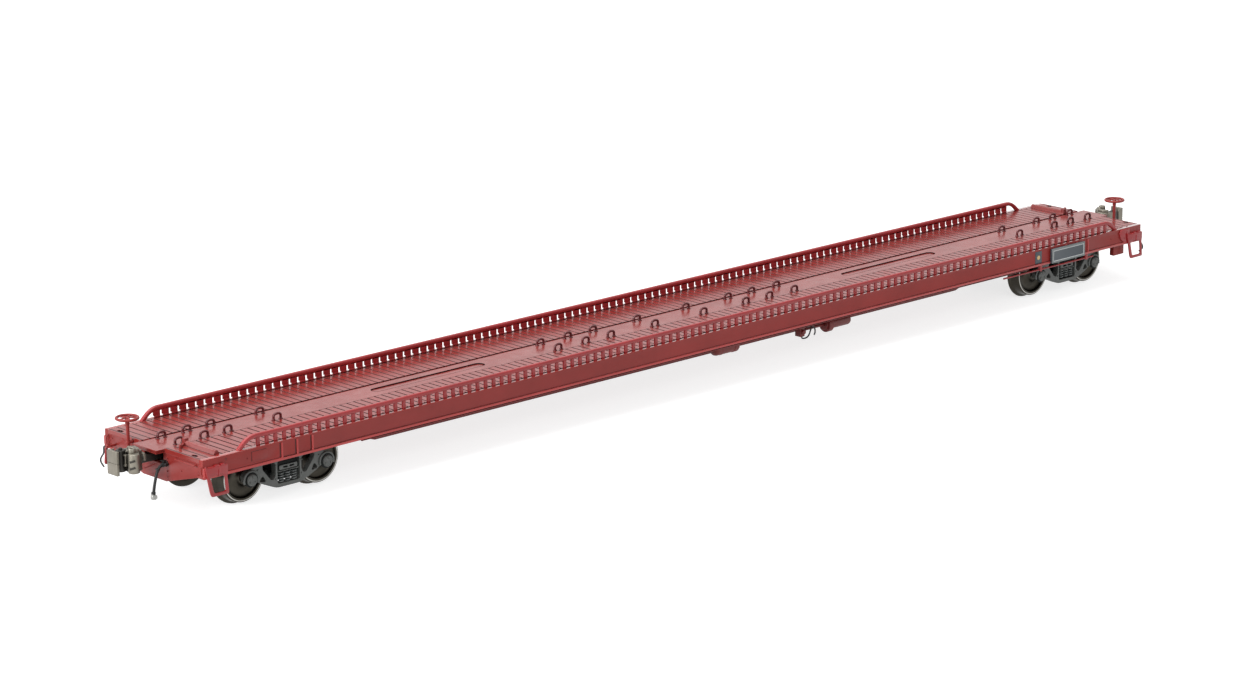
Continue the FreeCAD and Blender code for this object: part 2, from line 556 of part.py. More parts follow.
# Knuckles: a round boss bored for its pin, with the hooked nose in front
for end, turn, sign in ends:
    outside, inside = "-knuckle_y - knuckle_r", "-knuckle_y + knuckle_r"
    front = "knuckle_x + nose_out"
    nose = new_body()
    pad(nose, "XY_Plane",
        [("knuckle_x", outside), (f"{front} - nose_round", outside), (front, f"{outside} + nose_round"),
         (front, "nose_tip - nose_round / 2"), (f"{front} - nose_round / 2", "nose_tip"),
         (f"{front} - nose_thick", "nose_tip"), (f"{front} - nose_thick", f"{inside} + nose_round"),
         (f"{front} - nose_thick - nose_round", inside), ("knuckle_x", inside)],
        "knuckle_tall", "knuckle_low + knuckle_tall / 2")
    place(nose, pivot)
    jaw = cut(fuse(nose, rod(hinge_x, hinge_y, "knuckle_low", "knuckle_r", "knuckle_tall")),
              rod(hinge_x, hinge_y, "knuckle_low", "knuckle_pin + knuckle_fit", "knuckle_tall"))
    node(place(jaw, turn=turn), "knuckle_" + end)

# Air hoses: a cock on the end sill, a stiff bent hose and its end fitting
for end, turn, sign in ends:
    plate_x = f"({half} - band_out)"
    hose_x = f"({plate_x} + hose_out)"
    cock = fuse(rod(plate_x, "hose_y", "cock_z", "cock_r", "hose_out", "X"),
                rod(hose_x, "hose_y - 0.55", "cock_z", "cock_r", "1.1", "Y"))
    route = [(hose_x, "cock_z"), (f"{hose_x} + 0.5", "cock_z"), (f"{hose_x} + 1.6", "cock_z - 1.2"),
             (f"{hose_x} + 2.1", "cock_z - 2.6"), (f"{hose_x} + 2.45", "cock_z - 5.0")]
    hose = wire("XZ_Plane", route, "-hose_y", "YZ_Plane", ("hose_y", "cock_z"), hose_x, "hose_r")
    fitting = rod(f"{hose_x} + 2.5", "hose_y", "cock_z - 6.1", "hose_r + 0.12", "1.2")
    node(place(fuse(cock, hose, fitting), turn=turn), "air_hose_" + end)

# Uncoupling levers: a wire through two eyes on the end sill, with its handle bent down at the corner
for end, turn, sign in ends:
    plate_x = f"({half} - band_out)"
    lever_x = f"({half} + lever_out)"
    route = [("-lever_y", "lever_z"), ("-lever_end", "lever_z - 0.1"), ("-lever_end", "lever_z - 1.5"),
             ("-lever_end - 1.15", "lever_z - 2.85"), ("-lever_end - 0.15", "lever_z - 4.2")]
    lever = wire("YZ_Plane", route, lever_x, "XZ_Plane", (lever_x, "lever_z"), "lever_y", "lever_r")
    eyes = [box(plate_x, y, "lever_z - eye_tall / 2", "lever_out + band_out + lever_r", "eye_wide", "eye_tall")
            for y in ("-lever_y - eye_in", "-lever_end + eye_in")]
    node(place(fuse(lever, *eyes), turn=turn), "uncoupling_lever_" + end)

# Underbody: air tank, brake cylinder, valve and their brackets, on the near side of the spine
def hanger(x, z, thick):
    """A strap from a piece of gear up to the underside of the deck."""
    return box(x, "-gear_y + gear_hang", z, thick, "strap_wide", f"{under} - ({z})")


tank = fuse(rod("tank_at - tank_long / 2", "-gear_y", "tank_z", "tank_r", "tank_long", "X"),
            hanger("tank_at - tank_long / 4", "tank_z", "strap_thick"),
            hanger("tank_at + tank_long / 4", "tank_z", "strap_thick"))
node(tank, "air_tank")
valve_at = f"({bearer_pitch} + valve_out)"
cylinder_at = f"({bearer_pitch} * 1.5)"
cylinder_start = f"({cylinder_at} - cylinder_long / 2)"
valve_end = f"({valve_at} + valve_long / 2)"
cylinder = fuse(rod(cylinder_start, "-gear_y", "cylinder_z", "cylinder_r", "cylinder_long", "X"),
                rod(f"{cylinder_start} - cover_thick", "-gear_y", "cylinder_z", "cylinder_r + cover_out",
                    "cover_thick", "X"),
                rod(valve_end, "-gear_y", "cylinder_z", "ram_r", f"{cylinder_start} - {valve_end}", "X"),
                hanger(cylinder_at, "cylinder_z", "strap_thick"))
node(cylinder, "brake_cylinder")
valve = fuse(box(f"{valve_at} - valve_long / 2", "-gear_y", "cylinder_z - valve_tall / 2", "valve_long",
                 "valve_wide", "valve_tall"),
             hanger(f"{valve_at} - valve_neck / 2", "cylinder_z", "valve_neck"))
node(valve, "control_valve")

# Rods on two brackets, below the sill on the far side at end A and the near side at end B
for side, turn in sides:
    rod_at = f"({half} - rod_in)"
    rod_y = f"-{face} + rod_set"
    z = f"({sill_low} - rod_low)"
    start = f"({rod_at} - rod_long / 2)"
    hangers = [box(f"{rod_at} {shift} hanger_gap / 2 - hanger_long / 2", rod_y, f"{z} - rod_r", "hanger_long",
                   "hanger_wide", "rod_low + rod_r") for shift in ("-", "+")]
    bar = fuse(rod(start, rod_y, z, "rod_r", "rod_long", "X"),
               rod(f"{start} - rod_tail", rod_y, z, "tail_r", "rod_tail", "X"), *hangers)
    node(place(bar, turn=turn), "sill_rod_" + side)

# Blank plates on the sills, above the rods
for side, turn in sides:
    plate = box(f"{half} - plate_in - plate_long / 2", f"-{face} - lip_out - plate_thick / 2",
                f"{sill_low} + plate_rise", "plate_long", "plate_thick", "plate_high")
    node(place(group(plate), turn=turn), "side_plate_" + side)

# Wheelsets: a pointed axle with two flanged wheels, turned as one profile about Y
back = "(back_gap / 2)"
front = "(back_gap / 2 + tyre_wide)"
frame_in = "(back_gap / 2 + tyre_wide + frame_gap)"
frame_out = "(back_gap / 2 + tyre_wide + frame_gap + frame_thick)"
point = f"({frame_in} + journal_seat)"
wheel = [(back, "axle_r"), (back, "flange_r"), (f"{back} + flange_wide", "tread_r + cone"),
         (front, "tread_r - cone"), (front, "tread_r - rim_deep"), (f"{front} - dish", "valley_r"),
         (f"{front} + hub_out", "hub_r"), (f"{front} + hub_out", "journal_r"), (point, "journal_r / 2"),
         (point, "0")]
wheelsets = (("a1", -1, -1), ("a2", -1, 1), ("b1", 1, -1), ("b2", 1, 1))
for name, truck, axle in wheelsets:
    turned_part = new_body()
    turned = turned_part.newObject("PartDesign::Revolution", "turned")
    turned.Profile = outline(turned_part, "YZ_Plane", wheel[::-1] + [(f"-({y})", r) for y, r in wheel])
    turned.ReferenceAxis = (origin(turned_part, "Y_Axis"), [""])
    turned.Angle = 360
    place(turned_part, f"{truck} * {truck_at} + {axle} * wheel_base / 2", 0, "flange_r")
    node(turned_part, "wheelset_" + name)

# Truck frames: two open side frames with truss windows, and the bolster between them
wb = "wheel_base / 2"
frame_mid = f"(({frame_in} + {frame_out}) / 2)"
axle_z = "flange_r"
chord = "(frame_top - chord_tall)"


def both_ways(points):
    return points + [(f"-({x})", z) for x, z in points[::-1]]


frame_edge = both_ways([
    ("sole_half", "frame_low"), ("sole_half + 2.1", "frame_low + 0.9"), (f"{wb} - 2.3", "frame_low + 1.6"),
    (f"{wb} - box_half", f"{axle_z} - box_drop"), (f"{wb} + box_half", f"{axle_z} - box_drop"),
    (f"{wb} + box_half + 0.2", f"{axle_z} + box_drop"), (f"{wb} + 0.9", f"{axle_z} + 2 * box_drop"),
    (f"{wb} - 0.4", f"{axle_z} + 2.1"), (f"{wb} - 2.3", "frame_top")])
big_window = [("bay_half + column", chord), (f"{wb} - 2.9", chord), (f"{wb} - 4.6", "frame_low + 2.0"),
              (f"{wb} - 4.95", "frame_low + 2.0"), ("bay_half + column", "frame_low + 3.1")]
small_window = [(f"{wb} - 3.25", "frame_low + 1.9"), (f"{wb} - 2.2", "frame_low + 2.2"),
                (f"{wb} - 2.7", "frame_low + 3.0")]
for end, turn, sign in ends:
    pieces_of_frame = []
    for flip in (0, 180):
        cheek = new_body()
        pad(cheek, "XZ_Plane", frame_edge, "frame_thick", f"-{frame_mid}")
        for way in (1, -1):
            pocket(cheek, "XZ_Plane", [(f"{way} * ({x})", z) for x, z in big_window])
            pocket(cheek, "XZ_Plane", [(f"{way} * ({x})", z) for x, z in small_window])
        pocket(cheek, "XZ_Plane", rect("-bay_half", "spring_low", "bay_half", chord))
        bores = [rod(f"{way} * {wb}", f"{frame_in} - journal_fit", axle_z, "journal_r + journal_fit",
                     "journal_seat + 2 * journal_fit", "Y") for way in (1, -1)]
        pieces_of_frame.append(place(cut(cheek, *bores), f"{sign} * {truck_at}", turn=flip))
    at = f"({sign} * {truck_at})"
    bolster = cut(fuse(box(f"{at} - bolster_half", 0, "bolster_low", "2 * bolster_half",
                           f"2 * ({frame_out} - bolster_set)", "bolster_top - bolster_low"),
                       rod(at, 0, "bolster_top", "plate_r", "plate_tall")),
                  rod(at, 0, "bolster_low - pin_fit", "pin_r + pin_fit",
                      "bolster_top - bolster_low + plate_tall + 2 * pin_fit"))
    node(group(*pieces_of_frame, bolster), "truck_frame_" + end)

# Bearing caps, springs and brake beams of each truck
for end, turn, sign in ends:
    caps, springs, beams = [], [], []
    for side_y, cap_y in ((frame_mid, frame_out), (f"-{frame_mid}", f"-{frame_out} - cap_out")):
        for way in (1, -1):
            caps.append(rod(f"{sign} * {truck_at} + {way} * {wb}", cap_y, axle_z, "cap_r", "cap_out", "Y"))
        for i in (-1, 0, 1):
            springs.append(rod(f"{sign} * {truck_at} + {i} * spring_pitch", side_y, "spring_low", "spring_r",
                               "bolster_low - spring_low"))
    for way in (1, -1):
        middle = f"({sign} * {truck_at} + {way} * (beam_out - beam_thick / 2))"
        bar = box(f"{middle} - beam_thick / 2", 0, "beam_low", "beam_thick", f"2 * {frame_in}", "beam_tall")
        deep = f"({wb} - tread_r - shoe_gap - beam_out + beam_thick / 2)"
        start = f"({sign} * {truck_at} + {way} * ({wb} - tread_r - shoe_gap - {deep} / 2) - {deep} / 2)"
        tread_y = f"({back} + (flange_wide + tyre_wide) / 2)"
        shoes = [box(start, y, "beam_low - shoe_lap", deep, "shoe_wide", "beam_tall + 2 * shoe_lap")
                 for y in (tread_y, f"-{tread_y}")]
        beams.append(fuse(bar, *shoes))
    node(group(*caps), "bearing_caps_" + end)
    node(group(*springs), "truck_springs_" + end)
    node(group(*beams), "brake_beams_" + end)

# Every feature must stand before anything is written
doc.recompute()
for thing in doc.Objects:
    if "Invalid" in thing.State or "Error" in thing.State:
        raise RuntimeError(f"{thing.Name} ({thing.Label}) failed: {thing.State}")
for piece in pieces:
    shape = piece.Shape
    if shape.isNull() or not shape.isValid() or shape.Volume <= 0:
        raise RuntimeError(f"{piece.Label} has no valid solid")
    print(f"{piece.Label:20s} solids {len(shape.Solids)} volume {shape.Volume:9.2f} mm3")
for piece in pieces:
    piece.Shape.exportStep(f"parts/{piece.Label}.step")
print(len(pieces), "sub-parts written")
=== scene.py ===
import math
import bpy
from mathutils import Matrix, Vector


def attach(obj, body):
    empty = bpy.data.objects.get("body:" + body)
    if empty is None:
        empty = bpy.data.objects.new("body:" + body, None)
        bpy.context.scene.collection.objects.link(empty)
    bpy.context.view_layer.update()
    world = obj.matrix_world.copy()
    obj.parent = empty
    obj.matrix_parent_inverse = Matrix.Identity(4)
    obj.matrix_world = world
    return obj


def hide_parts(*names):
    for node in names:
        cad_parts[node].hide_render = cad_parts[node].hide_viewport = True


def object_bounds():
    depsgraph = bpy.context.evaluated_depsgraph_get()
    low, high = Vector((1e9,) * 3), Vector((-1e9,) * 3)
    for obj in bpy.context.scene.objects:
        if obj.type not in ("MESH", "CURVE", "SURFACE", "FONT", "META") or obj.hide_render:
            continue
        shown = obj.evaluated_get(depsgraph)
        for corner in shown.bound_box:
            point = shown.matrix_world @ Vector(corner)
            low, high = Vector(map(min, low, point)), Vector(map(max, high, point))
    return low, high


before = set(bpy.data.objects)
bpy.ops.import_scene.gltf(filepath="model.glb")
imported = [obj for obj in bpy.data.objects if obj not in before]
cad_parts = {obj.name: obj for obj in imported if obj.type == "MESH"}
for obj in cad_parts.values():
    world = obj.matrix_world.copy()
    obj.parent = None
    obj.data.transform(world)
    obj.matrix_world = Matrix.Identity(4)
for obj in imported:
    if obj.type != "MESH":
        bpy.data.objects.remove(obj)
cad_low, cad_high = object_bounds()
scene = bpy.context.scene
mm = 0.001  # the helpers below take millimetres and degrees, Blender takes metres

# Underframe: the fish-bellied centre sill, the cross-bearers, the body bolsters and the draft boxes.
# On the model these are injection-moulded in one plastic with the sills and sprayed oxide red. The
# paint is thin and satin, with a fine grain and a little dust on what faces up.


def effect(name, inputs, outputs):
    """An empty shader effect; its inputs, each with its usual value, and its outputs are numbers."""
    group = bpy.data.node_groups.new(name, "ShaderNodeTree")
    for label, value in inputs.items():
        group.interface.new_socket(label, in_out="INPUT", socket_type="NodeSocketFloat").default_value = value
    for label in outputs:
        group.interface.new_socket(label, in_out="OUTPUT", socket_type="NodeSocketFloat")
    return group, group.nodes.new("NodeGroupInput").outputs, group.nodes.new("NodeGroupOutput").inputs


def put(tree, kind, settings=None, **values):
    """Adds a shader node, gives it its settings, and sets or links its inputs by name."""
    node = tree.nodes.new("ShaderNode" + kind)
    for name, value in (settings or {}).items():
        setattr(node, name, value)
    for name, value in values.items():
        feed(tree, node.inputs[name.replace("_", " ")], value)
    return node


def feed(tree, socket, value):
    """Links a socket to another one, or sets its value."""
    if isinstance(value, bpy.types.NodeSocket):
        tree.links.new(value, socket)
    else:
        socket.default_value = value


def calc(tree, operation, *values):
    """One step of arithmetic between sockets and numbers."""
    node = put(tree, "Math", {"operation": operation})
    for socket, value in zip(node.inputs, values):
        feed(tree, socket, value)
    return node.outputs[0]


def span(tree, value, low=0.0, high=1.0, start=0.0, stop=1.0):
    """Maps the range from start to stop onto the range from low to high."""
    return put(tree, "MapRange", Value=value, From_Min=start, From_Max=stop, To_Min=low, To_Max=high).outputs[0]


def blend_colour(tree, share, first, second):
    """A mix of two colours by a share that varies over the surface."""
    node = put(tree, "Mix", {"data_type": "RGBA"})
    feed(tree, node.inputs[0], share)
    for socket, colour in ((node.inputs[6], first), (node.inputs[7], second)):
        feed(tree, socket, colour if isinstance(colour, bpy.types.NodeSocket) else (*colour, 1))
    return node.outputs[2]


def apply_effect(tree, group, **values):
    """The outputs of a shader effect whose inputs are set or linked by name."""
    return put(tree, "Group", {"node_tree": group}, **values).outputs


# The fine grain of sprayed paint: a slow change of tone and a fast one of height
spray_grain, given, out = effect("spray grain", {"Scale": 1.0}, ("Tone", "Height"))
spot = put(spray_grain, "TexCoord").outputs["Object"]
for socket, scale, detail in ((out[0], 130.0, 3.0), (out[1], 5200.0, 2.0)):
    noise = put(spray_grain, "TexNoise", Vector=spot, Scale=calc(spray_grain, "MULTIPLY", given[0], scale),
                Detail=detail, Roughness=0.6)
    feed(spray_grain, socket, noise.outputs[0])

# Dust that settles on what faces up, in uneven patches
settled_dust, given, out = effect("settled dust", {"Amount": 0.2}, ("Mask",))
coords = put(settled_dust, "TexCoord").outputs
upward = put(settled_dust, "SeparateXYZ", Vector=coords["Normal"]).outputs[2]
facing = span(settled_dust, upward, start=0.2, stop=0.95)
patch = put(settled_dust, "TexNoise", Vector=coords["Object"], Scale=320.0, Detail=5.0, Roughness=0.7).outputs[0]
patch = span(settled_dust, patch, start=0.42, stop=0.72)
feed(settled_dust, out[0], calc(settled_dust, "MULTIPLY", calc(settled_dust, "MULTIPLY", facing, patch), given[0]))


def new_material(name):
    """A new material, its tree and its shader's inputs."""
    made = bpy.data.materials.new(name)
    made.use_nodes = True
    return made, made.node_tree, made.node_tree.nodes["Principled BSDF"].inputs


def painted(name, colour, deep, rough, bump=0.01, grain=1.0, dust=0.0, specular=0.5):
    """Satin paint: its tone drifts, its grain shows in the highlight and dust dulls its upper faces."""
    made, tree, shader = new_material(name)
    tone, height = apply_effect(tree, spray_grain, Scale=grain)
    paint = blend_colour(tree, span(tree, tone, start=0.35, stop=0.68), deep, colour)
    dusty = apply_effect(tree, settled_dust, Amount=dust)[0]
    feed(tree, shader["Base Color"], blend_colour(tree, dusty, paint, (0.55, 0.40, 0.38)))
    feed(tree, shader["Roughness"], span(tree, height, rough - 0.06, rough + 0.08))
    feed(tree, shader["Normal"], put(tree, "Bump", Height=height, Strength=bump * 10, Distance=0.00003).outputs[0])
    shader["Specular IOR Level"].default_value = specular
    return made


def finished(piece, *finishes):
    """Gives a piece its finishes, in the order of its slots."""
    piece.data.materials.clear()
    for finish in finishes:
        piece.data.materials.append(finish)
    return piece


def dress(names, made):
    """Gives carried-over pieces their finish."""
    for name in names:
        finished(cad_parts[name], made)


def add(kind, **settings):
    """A new primitive, alone in the selection."""
    bpy.ops.object.select_all(action="DESELECT")
    getattr(bpy.ops.mesh, f"primitive_{kind}_add")(**settings)
    return bpy.context.object


def pick(*chosen):
    bpy.ops.object.select_all(action="DESELECT")
    for piece in chosen:
        piece.select_set(True)
    bpy.context.view_layer.objects.active = chosen[0]


def settle(*chosen):
    """Puts each piece's place, turn and size into its mesh."""
    pick(*chosen)
    bpy.ops.object.transform_apply(location=True, rotation=True, scale=True)
    return chosen[0]


def joined(*chosen):
    settle(*chosen)
    bpy.ops.object.join()
    return bpy.context.object


def modified(piece, kind, **settings):
    """Adds a modifier and applies it."""
    pick(piece)
    modifier = piece.modifiers.new(kind.lower(), kind)
    for name, value in settings.items():
        setattr(modifier, name, value)
    bpy.ops.object.modifier_apply(modifier=modifier.name)
    return piece


def smoothed(piece, angle=40):
    """Smooth shading, except over edges that are sharper than an angle."""
    pick(piece)
    bpy.ops.object.shade_smooth_by_angle(angle=math.radians(angle))
    return piece


def rounded(piece, edge, segments=2):
    """Breaks the sharp edges, as a mould or a casting leaves them."""
    modified(piece, "BEVEL", width=edge * mm, segments=segments, limit_method="ANGLE",
             angle_limit=math.radians(32))
    return smoothed(piece)


def block(low, high, edge=0.06, segments=2):
    """A block between two corners, with broken edges."""
    piece = add("cube", size=1, location=[(a + b) / 2 * mm for a, b in zip(low, high)])
    piece.scale = [(b - a) * mm for a, b in zip(low, high)]
    return rounded(settle(piece), edge, segments)


def in_mesh(*steps):
    """Edits the whole of the active mesh; each step is an operator's name and its settings."""
    bpy.ops.object.mode_set(mode="EDIT")
    for step, settings in steps:
        bpy.ops.mesh.select_all(action="SELECT")
        getattr(bpy.ops.mesh, step)(**settings)
    bpy.ops.object.mode_set(mode="OBJECT")


weld = "remove_doubles", {"threshold": 0.001 * mm}
outwards = "normals_make_consistent", {"inside": False}


def turned(points, steps=32):
    """A turned piece: radius and height points, spun round Z and closed at its ends."""
    piece = add("plane", size=mm)
    bpy.ops.object.mode_set(mode="EDIT")
    bpy.ops.mesh.select_mode(type="VERT")
    bpy.ops.mesh.merge(type="CENTER")
    bpy.ops.transform.translate(value=(points[0][0] * mm, 0, points[0][1] * mm))
    for (radius, height), (next_radius, next_height) in zip(points, points[1:]):
        step = ((next_radius - radius) * mm, 0, (next_height - height) * mm)
        bpy.ops.mesh.extrude_region_move(TRANSFORM_OT_translate={"value": step})
    in_mesh(("spin", {"steps": steps, "angle": 2 * math.pi, "center": (0, 0, 0), "axis": (0, 0, 1)}), weld, outwards)
    return smoothed(piece, 35)


def bare_curve(kind="nurbs_path"):
    """A new curve with no line in it yet, alone in the selection."""
    bpy.ops.object.select_all(action="DESELECT")
    getattr(bpy.ops.curve, f"primitive_{kind}_add")()
    bpy.context.object.data.splines.clear()
    return bpy.context.object


def add_line(curve, kind, points):
    """Draws a line through flat or solid points; a poly line is closed."""
    line = curve.data.splines.new(kind)
    line.points.add(len(points) - 1)
    for point, place in zip(line.points, points):
        x, y, z = (*place, 0)[:3]
        point.co = (x * mm, y * mm, z * mm, 1)
    line.use_cyclic_u = kind == "POLY"
    return line


def tube(points, radius, round_steps=2):
    """A bent wire or pipe that runs smoothly through given points."""
    wire = bare_curve()
    line = add_line(wire, "NURBS", points)
    line.order_u = 3
    line.use_endpoint_u = True
    line.resolution_u = 4
    wire.data.bevel_depth = radius * mm
    wire.data.bevel_resolution = round_steps
    wire.data.use_fill_caps = True
    bpy.ops.object.convert(target="MESH")
    return smoothed(bpy.context.object, 50)


def soft_corners(points, radius, steps=4):
    """The same outline with its corners rounded off."""
    rounded_off = []
    for i, corner in enumerate(points):
        corner, last, following = Vector(corner), Vector(points[i - 1]), Vector(points[(i + 1) % len(points)])
        reach = min(radius, 0.45 * (last - corner).length, 0.45 * (following - corner).length)
        start = corner + (last - corner).normalized() * reach
        stop = corner + (following - corner).normalized() * reach
        for step in range(steps + 1):
            t = step / steps
            rounded_off.append(start * (1 - t) ** 2 + corner * 2 * t * (1 - t) + stop * t ** 2)
    return rounded_off


def plate(outlines, thick, edge, edge_steps=2):
    """A flat casting in the XY plane: the first outline, less the others, with rounded edges."""
    flat = bare_curve()
    flat.data.dimensions = "2D"
    flat.data.fill_mode = "BOTH"
    for points in outlines:
        add_line(flat, "POLY", points)
    flat.data.extrude = (thick / 2 - edge) * mm
    flat.data.bevel_depth = edge * mm
    flat.data.bevel_resolution = edge_steps - 1
    flat.data.offset = -edge * mm
    bpy.ops.object.convert(target="MESH")
    in_mesh(weld, outwards)
    return smoothed(bpy.context.object)


def stood(piece, turn=(0, 0, 0), at=(0, 0, 0)):
    """Turns a piece and shifts it, in its mesh."""
    piece.rotation_euler = [math.radians(angle) for angle in turn]
    piece.location = [length * mm for length in at]
    return settle(piece)


def moulded_copy(node, edge):
    """A copy of a carried-over piece with its edges rounded."""
    piece = bpy.data.objects.new(node + "_soft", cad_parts[node].data.copy())
    scene.collection.objects.link(piece)
    pick(piece)
    in_mesh(("remove_doubles", {"threshold": 0.0005 * mm}), ("dissolve_limited", {"angle_limit": math.radians(1)}))
    return rounded(piece, edge)


def twin(piece, turn=180):
    """A copy with a mesh of its own, turned about Z."""
    other = piece.copy()
    other.data = piece.data.copy()
    other.rotation_euler.z = math.radians(turn)
    scene.collection.objects.link(other)
    return other


def seat(piece, name, made, *nodes, body="carbody", slot="body_red"):
    """Names a finished piece, gives it its finish and puts it on its body, in place of its nodes."""
    settle(piece)
    piece.name = name
    piece.data.name = name
    if made:
        finished(piece, made)
    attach(piece, body)
    if nodes:
        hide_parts(*nodes)


def seat_both(piece, name, made, *nodes, body="carbody", slot="body_red"):
    """Seats a piece made for end B there, and a copy half a turn round at end A."""
    settle(piece)
    for end, one in (("b", piece), ("a", twin(piece))):
        seat(one, name.format(end), made, *[node.format(end) for node in nodes], body=body.format(end), slot=slot)


def repeated(piece, places, turns=None):
    """Copies of a piece, shifted to each place and turned about Z, joined in one mesh."""
    copies = []
    for place, turn in zip(places, turns or [0] * len(places)):
        copies.append(twin(piece, turn))
        copies[-1].location = [length * mm for length in place]
    bpy.data.objects.remove(piece)
    return joined(*copies)


ends = ("a", "b")
underframe_paint = painted("underframe paint", (0.20, 0.018, 0.015), (0.155, 0.012, 0.010), 0.46, 0.02, dust=0.12)
dress(["centre_sill", "cross_bearers"] + [kind + end for kind in ("body_bolster_", "draft_box_") for end in ends],
      underframe_paint)

# King pins: turned steel screws that go up through the trucks into the body bolsters, left bare and
# seen only from below.


def bare_metal(name, dark, light, smooth, rough, grain=2.5, metallic=1.0, bump=0.0):
    """Unpainted metal: its tone and its gloss drift over the surface."""
    made, tree, shader = new_material(name)
    tone, height = apply_effect(tree, spray_grain, Scale=grain)
    feed(tree, shader["Base Color"], blend_colour(tree, tone, dark, light))
    feed(tree, shader["Roughness"], span(tree, height, smooth, rough))
    if bump:
        feed(tree, shader["Normal"], put(tree, "Bump", Height=height, Strength=bump, Distance=0.00004).outputs[0])
    shader["Metallic"].default_value = metallic
    return made


dress(["king_pin_a", "king_pin_b"],
      bare_metal("king pin steel", (0.32, 0.30, 0.28), (0.48, 0.46, 0.43), 0.28, 0.45, 2.0))

# Air reservoir, brake cylinder and valve: red mouldings hung under the deck on the near side, with
# their pipes in black wire. The reservoir has one domed end and a flat cover, the cylinder a bolted one.
gear_y = -8.0
tank_profile = [(0, -3.4), (0.6, -3.36), (1.15, -3.15), (1.42, -2.85), (1.52, -2.4), (1.52, -1.6), (1.57, -1.55),
                (1.57, -1.25), (1.52, -1.2), (1.52, 1.9), (1.6, 1.95), (1.6, 3.0), (1.52, 3.1), (0.9, 3.14),
                (0.85, 3.4), (0.3, 3.42), (0.3, 6.9), (0, 7.0)]
tank = stood(turned(tank_profile, 28), (0, 90, 0), (7.4, gear_y, 6.2))
bands = [block((x, -7.95, 6.9), (x + 0.6, -6.05, 11.63)) for x in (5.4, 9.2)]
crank = block((10.95, -8.75, 5.3), (11.35, -8.25, 8.5), 0.12)
seat(joined(tank, crank, *bands), "reservoir", underframe_paint, "air_tank")


def bolt_ring(count, radius, height, size=0.17, start=0.0):
    """Small bolt heads with broken corners, on a circle round Z at a height."""
    head_tall = 0.13
    head = add("cylinder", vertices=6, radius=size * mm, depth=2 * head_tall * mm)
    modified(head, "BEVEL", width=0.03 * mm, segments=1, limit_method="ANGLE", angle_limit=1.2)
    angles = [math.radians(start + 360 * i / count) for i in range(count)]
    return repeated(smoothed(head), [(radius * math.cos(a), radius * math.sin(a), height) for a in angles])


cylinder_profile = [(0, -3.8), (1.1, -3.8), (1.2, -3.7), (1.2, -3.5), (1.62, -3.5), (1.7, -3.4), (1.7, -2.3),
                    (1.62, -2.2), (1.25, -2.15), (1.22, -1.6), (1.22, 3.0), (1.1, 3.35), (0.8, 3.56), (0, 3.6)]
cylinder = turned(cylinder_profile, 28)
studs = bolt_ring(8, 1.42, -3.5)
barrel = stood(joined(cylinder, studs), (0, 90, 0), (40.5, gear_y, 5.4))
ram = tube([(31.3, gear_y, 5.4), (34.0, gear_y, 5.4), (36.6, gear_y, 5.4)], 0.33)
strap = block((40.2, -7.95, 6.4), (40.8, -6.05, 11.63))
seat(joined(barrel, ram, strap), "brake_barrel", underframe_paint, "brake_cylinder")

valve = [block((29.0, -8.85, 4.2), (30.3, -7.15, 6.4), 0.15, 3), block((29.1, -8.6, 6.3), (30.9, -7.2, 6.75), 0.08),
         block((29.4, -7.9, 6.0), (30.2, -6.0, 11.63)),
         stood(turned([(0, 0), (0.42, 0), (0.5, 0.1), (0.5, 0.5), (0.4, 0.62), (0, 0.66)], 20), (90, 0, 0),
               (29.65, -8.8, 5.3))]
seat(joined(*valve), "valve_casting", underframe_paint, "control_valve")
wire_black = painted("black wire", (0.020, 0.019, 0.020), (0.012, 0.011, 0.012), 0.36, 0.02, 1.6, 0.02)
pipes = [tube([(14.2, gear_y, 6.2), (16.5, -7.6, 6.8), (17.5, -7.2, 7.5), (27.0, -7.2, 7.5), (29.3, -7.6, 6.5)], 0.16),
         tube([(29.6, -8.7, 4.5), (29.2, -8.8, 3.9), (30.4, -8.9, 3.75), (31.4, -8.9, 4.1), (32.0, -8.8, 5.2),
               (33.0, -8.6, 6.6)], 0.16),
         tube([(31.2, -8.5, 5.9), (32.6, -8.5, 6.1), (33.4, -8.6, 5.6), (33.7, -8.6, 4.4), (33.3, -8.6, 3.9)], 0.16)]
seat(joined(*pipes), "brake_pipes", wire_black, slot="wire_black")

# Deck: planks moulded across both side panels, each with a groove at its edge, and the smooth strip
# between them. The gloss of the paint mirrors the loops and rails at a low angle; the grooves are
# painted near-black as shade.
plank_pitch, plank_first, plank_count = 1.7, -125.85, 150

planks, given, out = effect("planks", {"First": 0.0, "Pitch": plank_pitch * mm, "Line": 0.20 * mm},
                                  ("Tone", "Grain", "Groove"))
spot = put(planks, "TexCoord").outputs["Object"]
along = put(planks, "SeparateXYZ", Vector=spot).outputs[0]
steps = calc(planks, "DIVIDE", calc(planks, "SUBTRACT", along, given[0]), given[1])
number = calc(planks, "FLOOR", steps)
feed(planks, out[0], put(planks, "TexWhiteNoise", {"noise_dimensions": "1D"}, W=number).outputs["Value"])
stretch = put(planks, "Mapping", Vector=spot, Scale=(1, 0.06, 1)).outputs[0]
feed(planks, out[1], put(planks, "TexNoise", Vector=stretch, Scale=5500.0, Detail=3.0).outputs[0])
away = calc(planks, "MULTIPLY", calc(planks, "PINGPONG", steps, 0.5), given[1])
feed(planks, out[2], span(planks, away, 1.0, 0.0, calc(planks, "MULTIPLY", given[2], 0.55), given[2]))


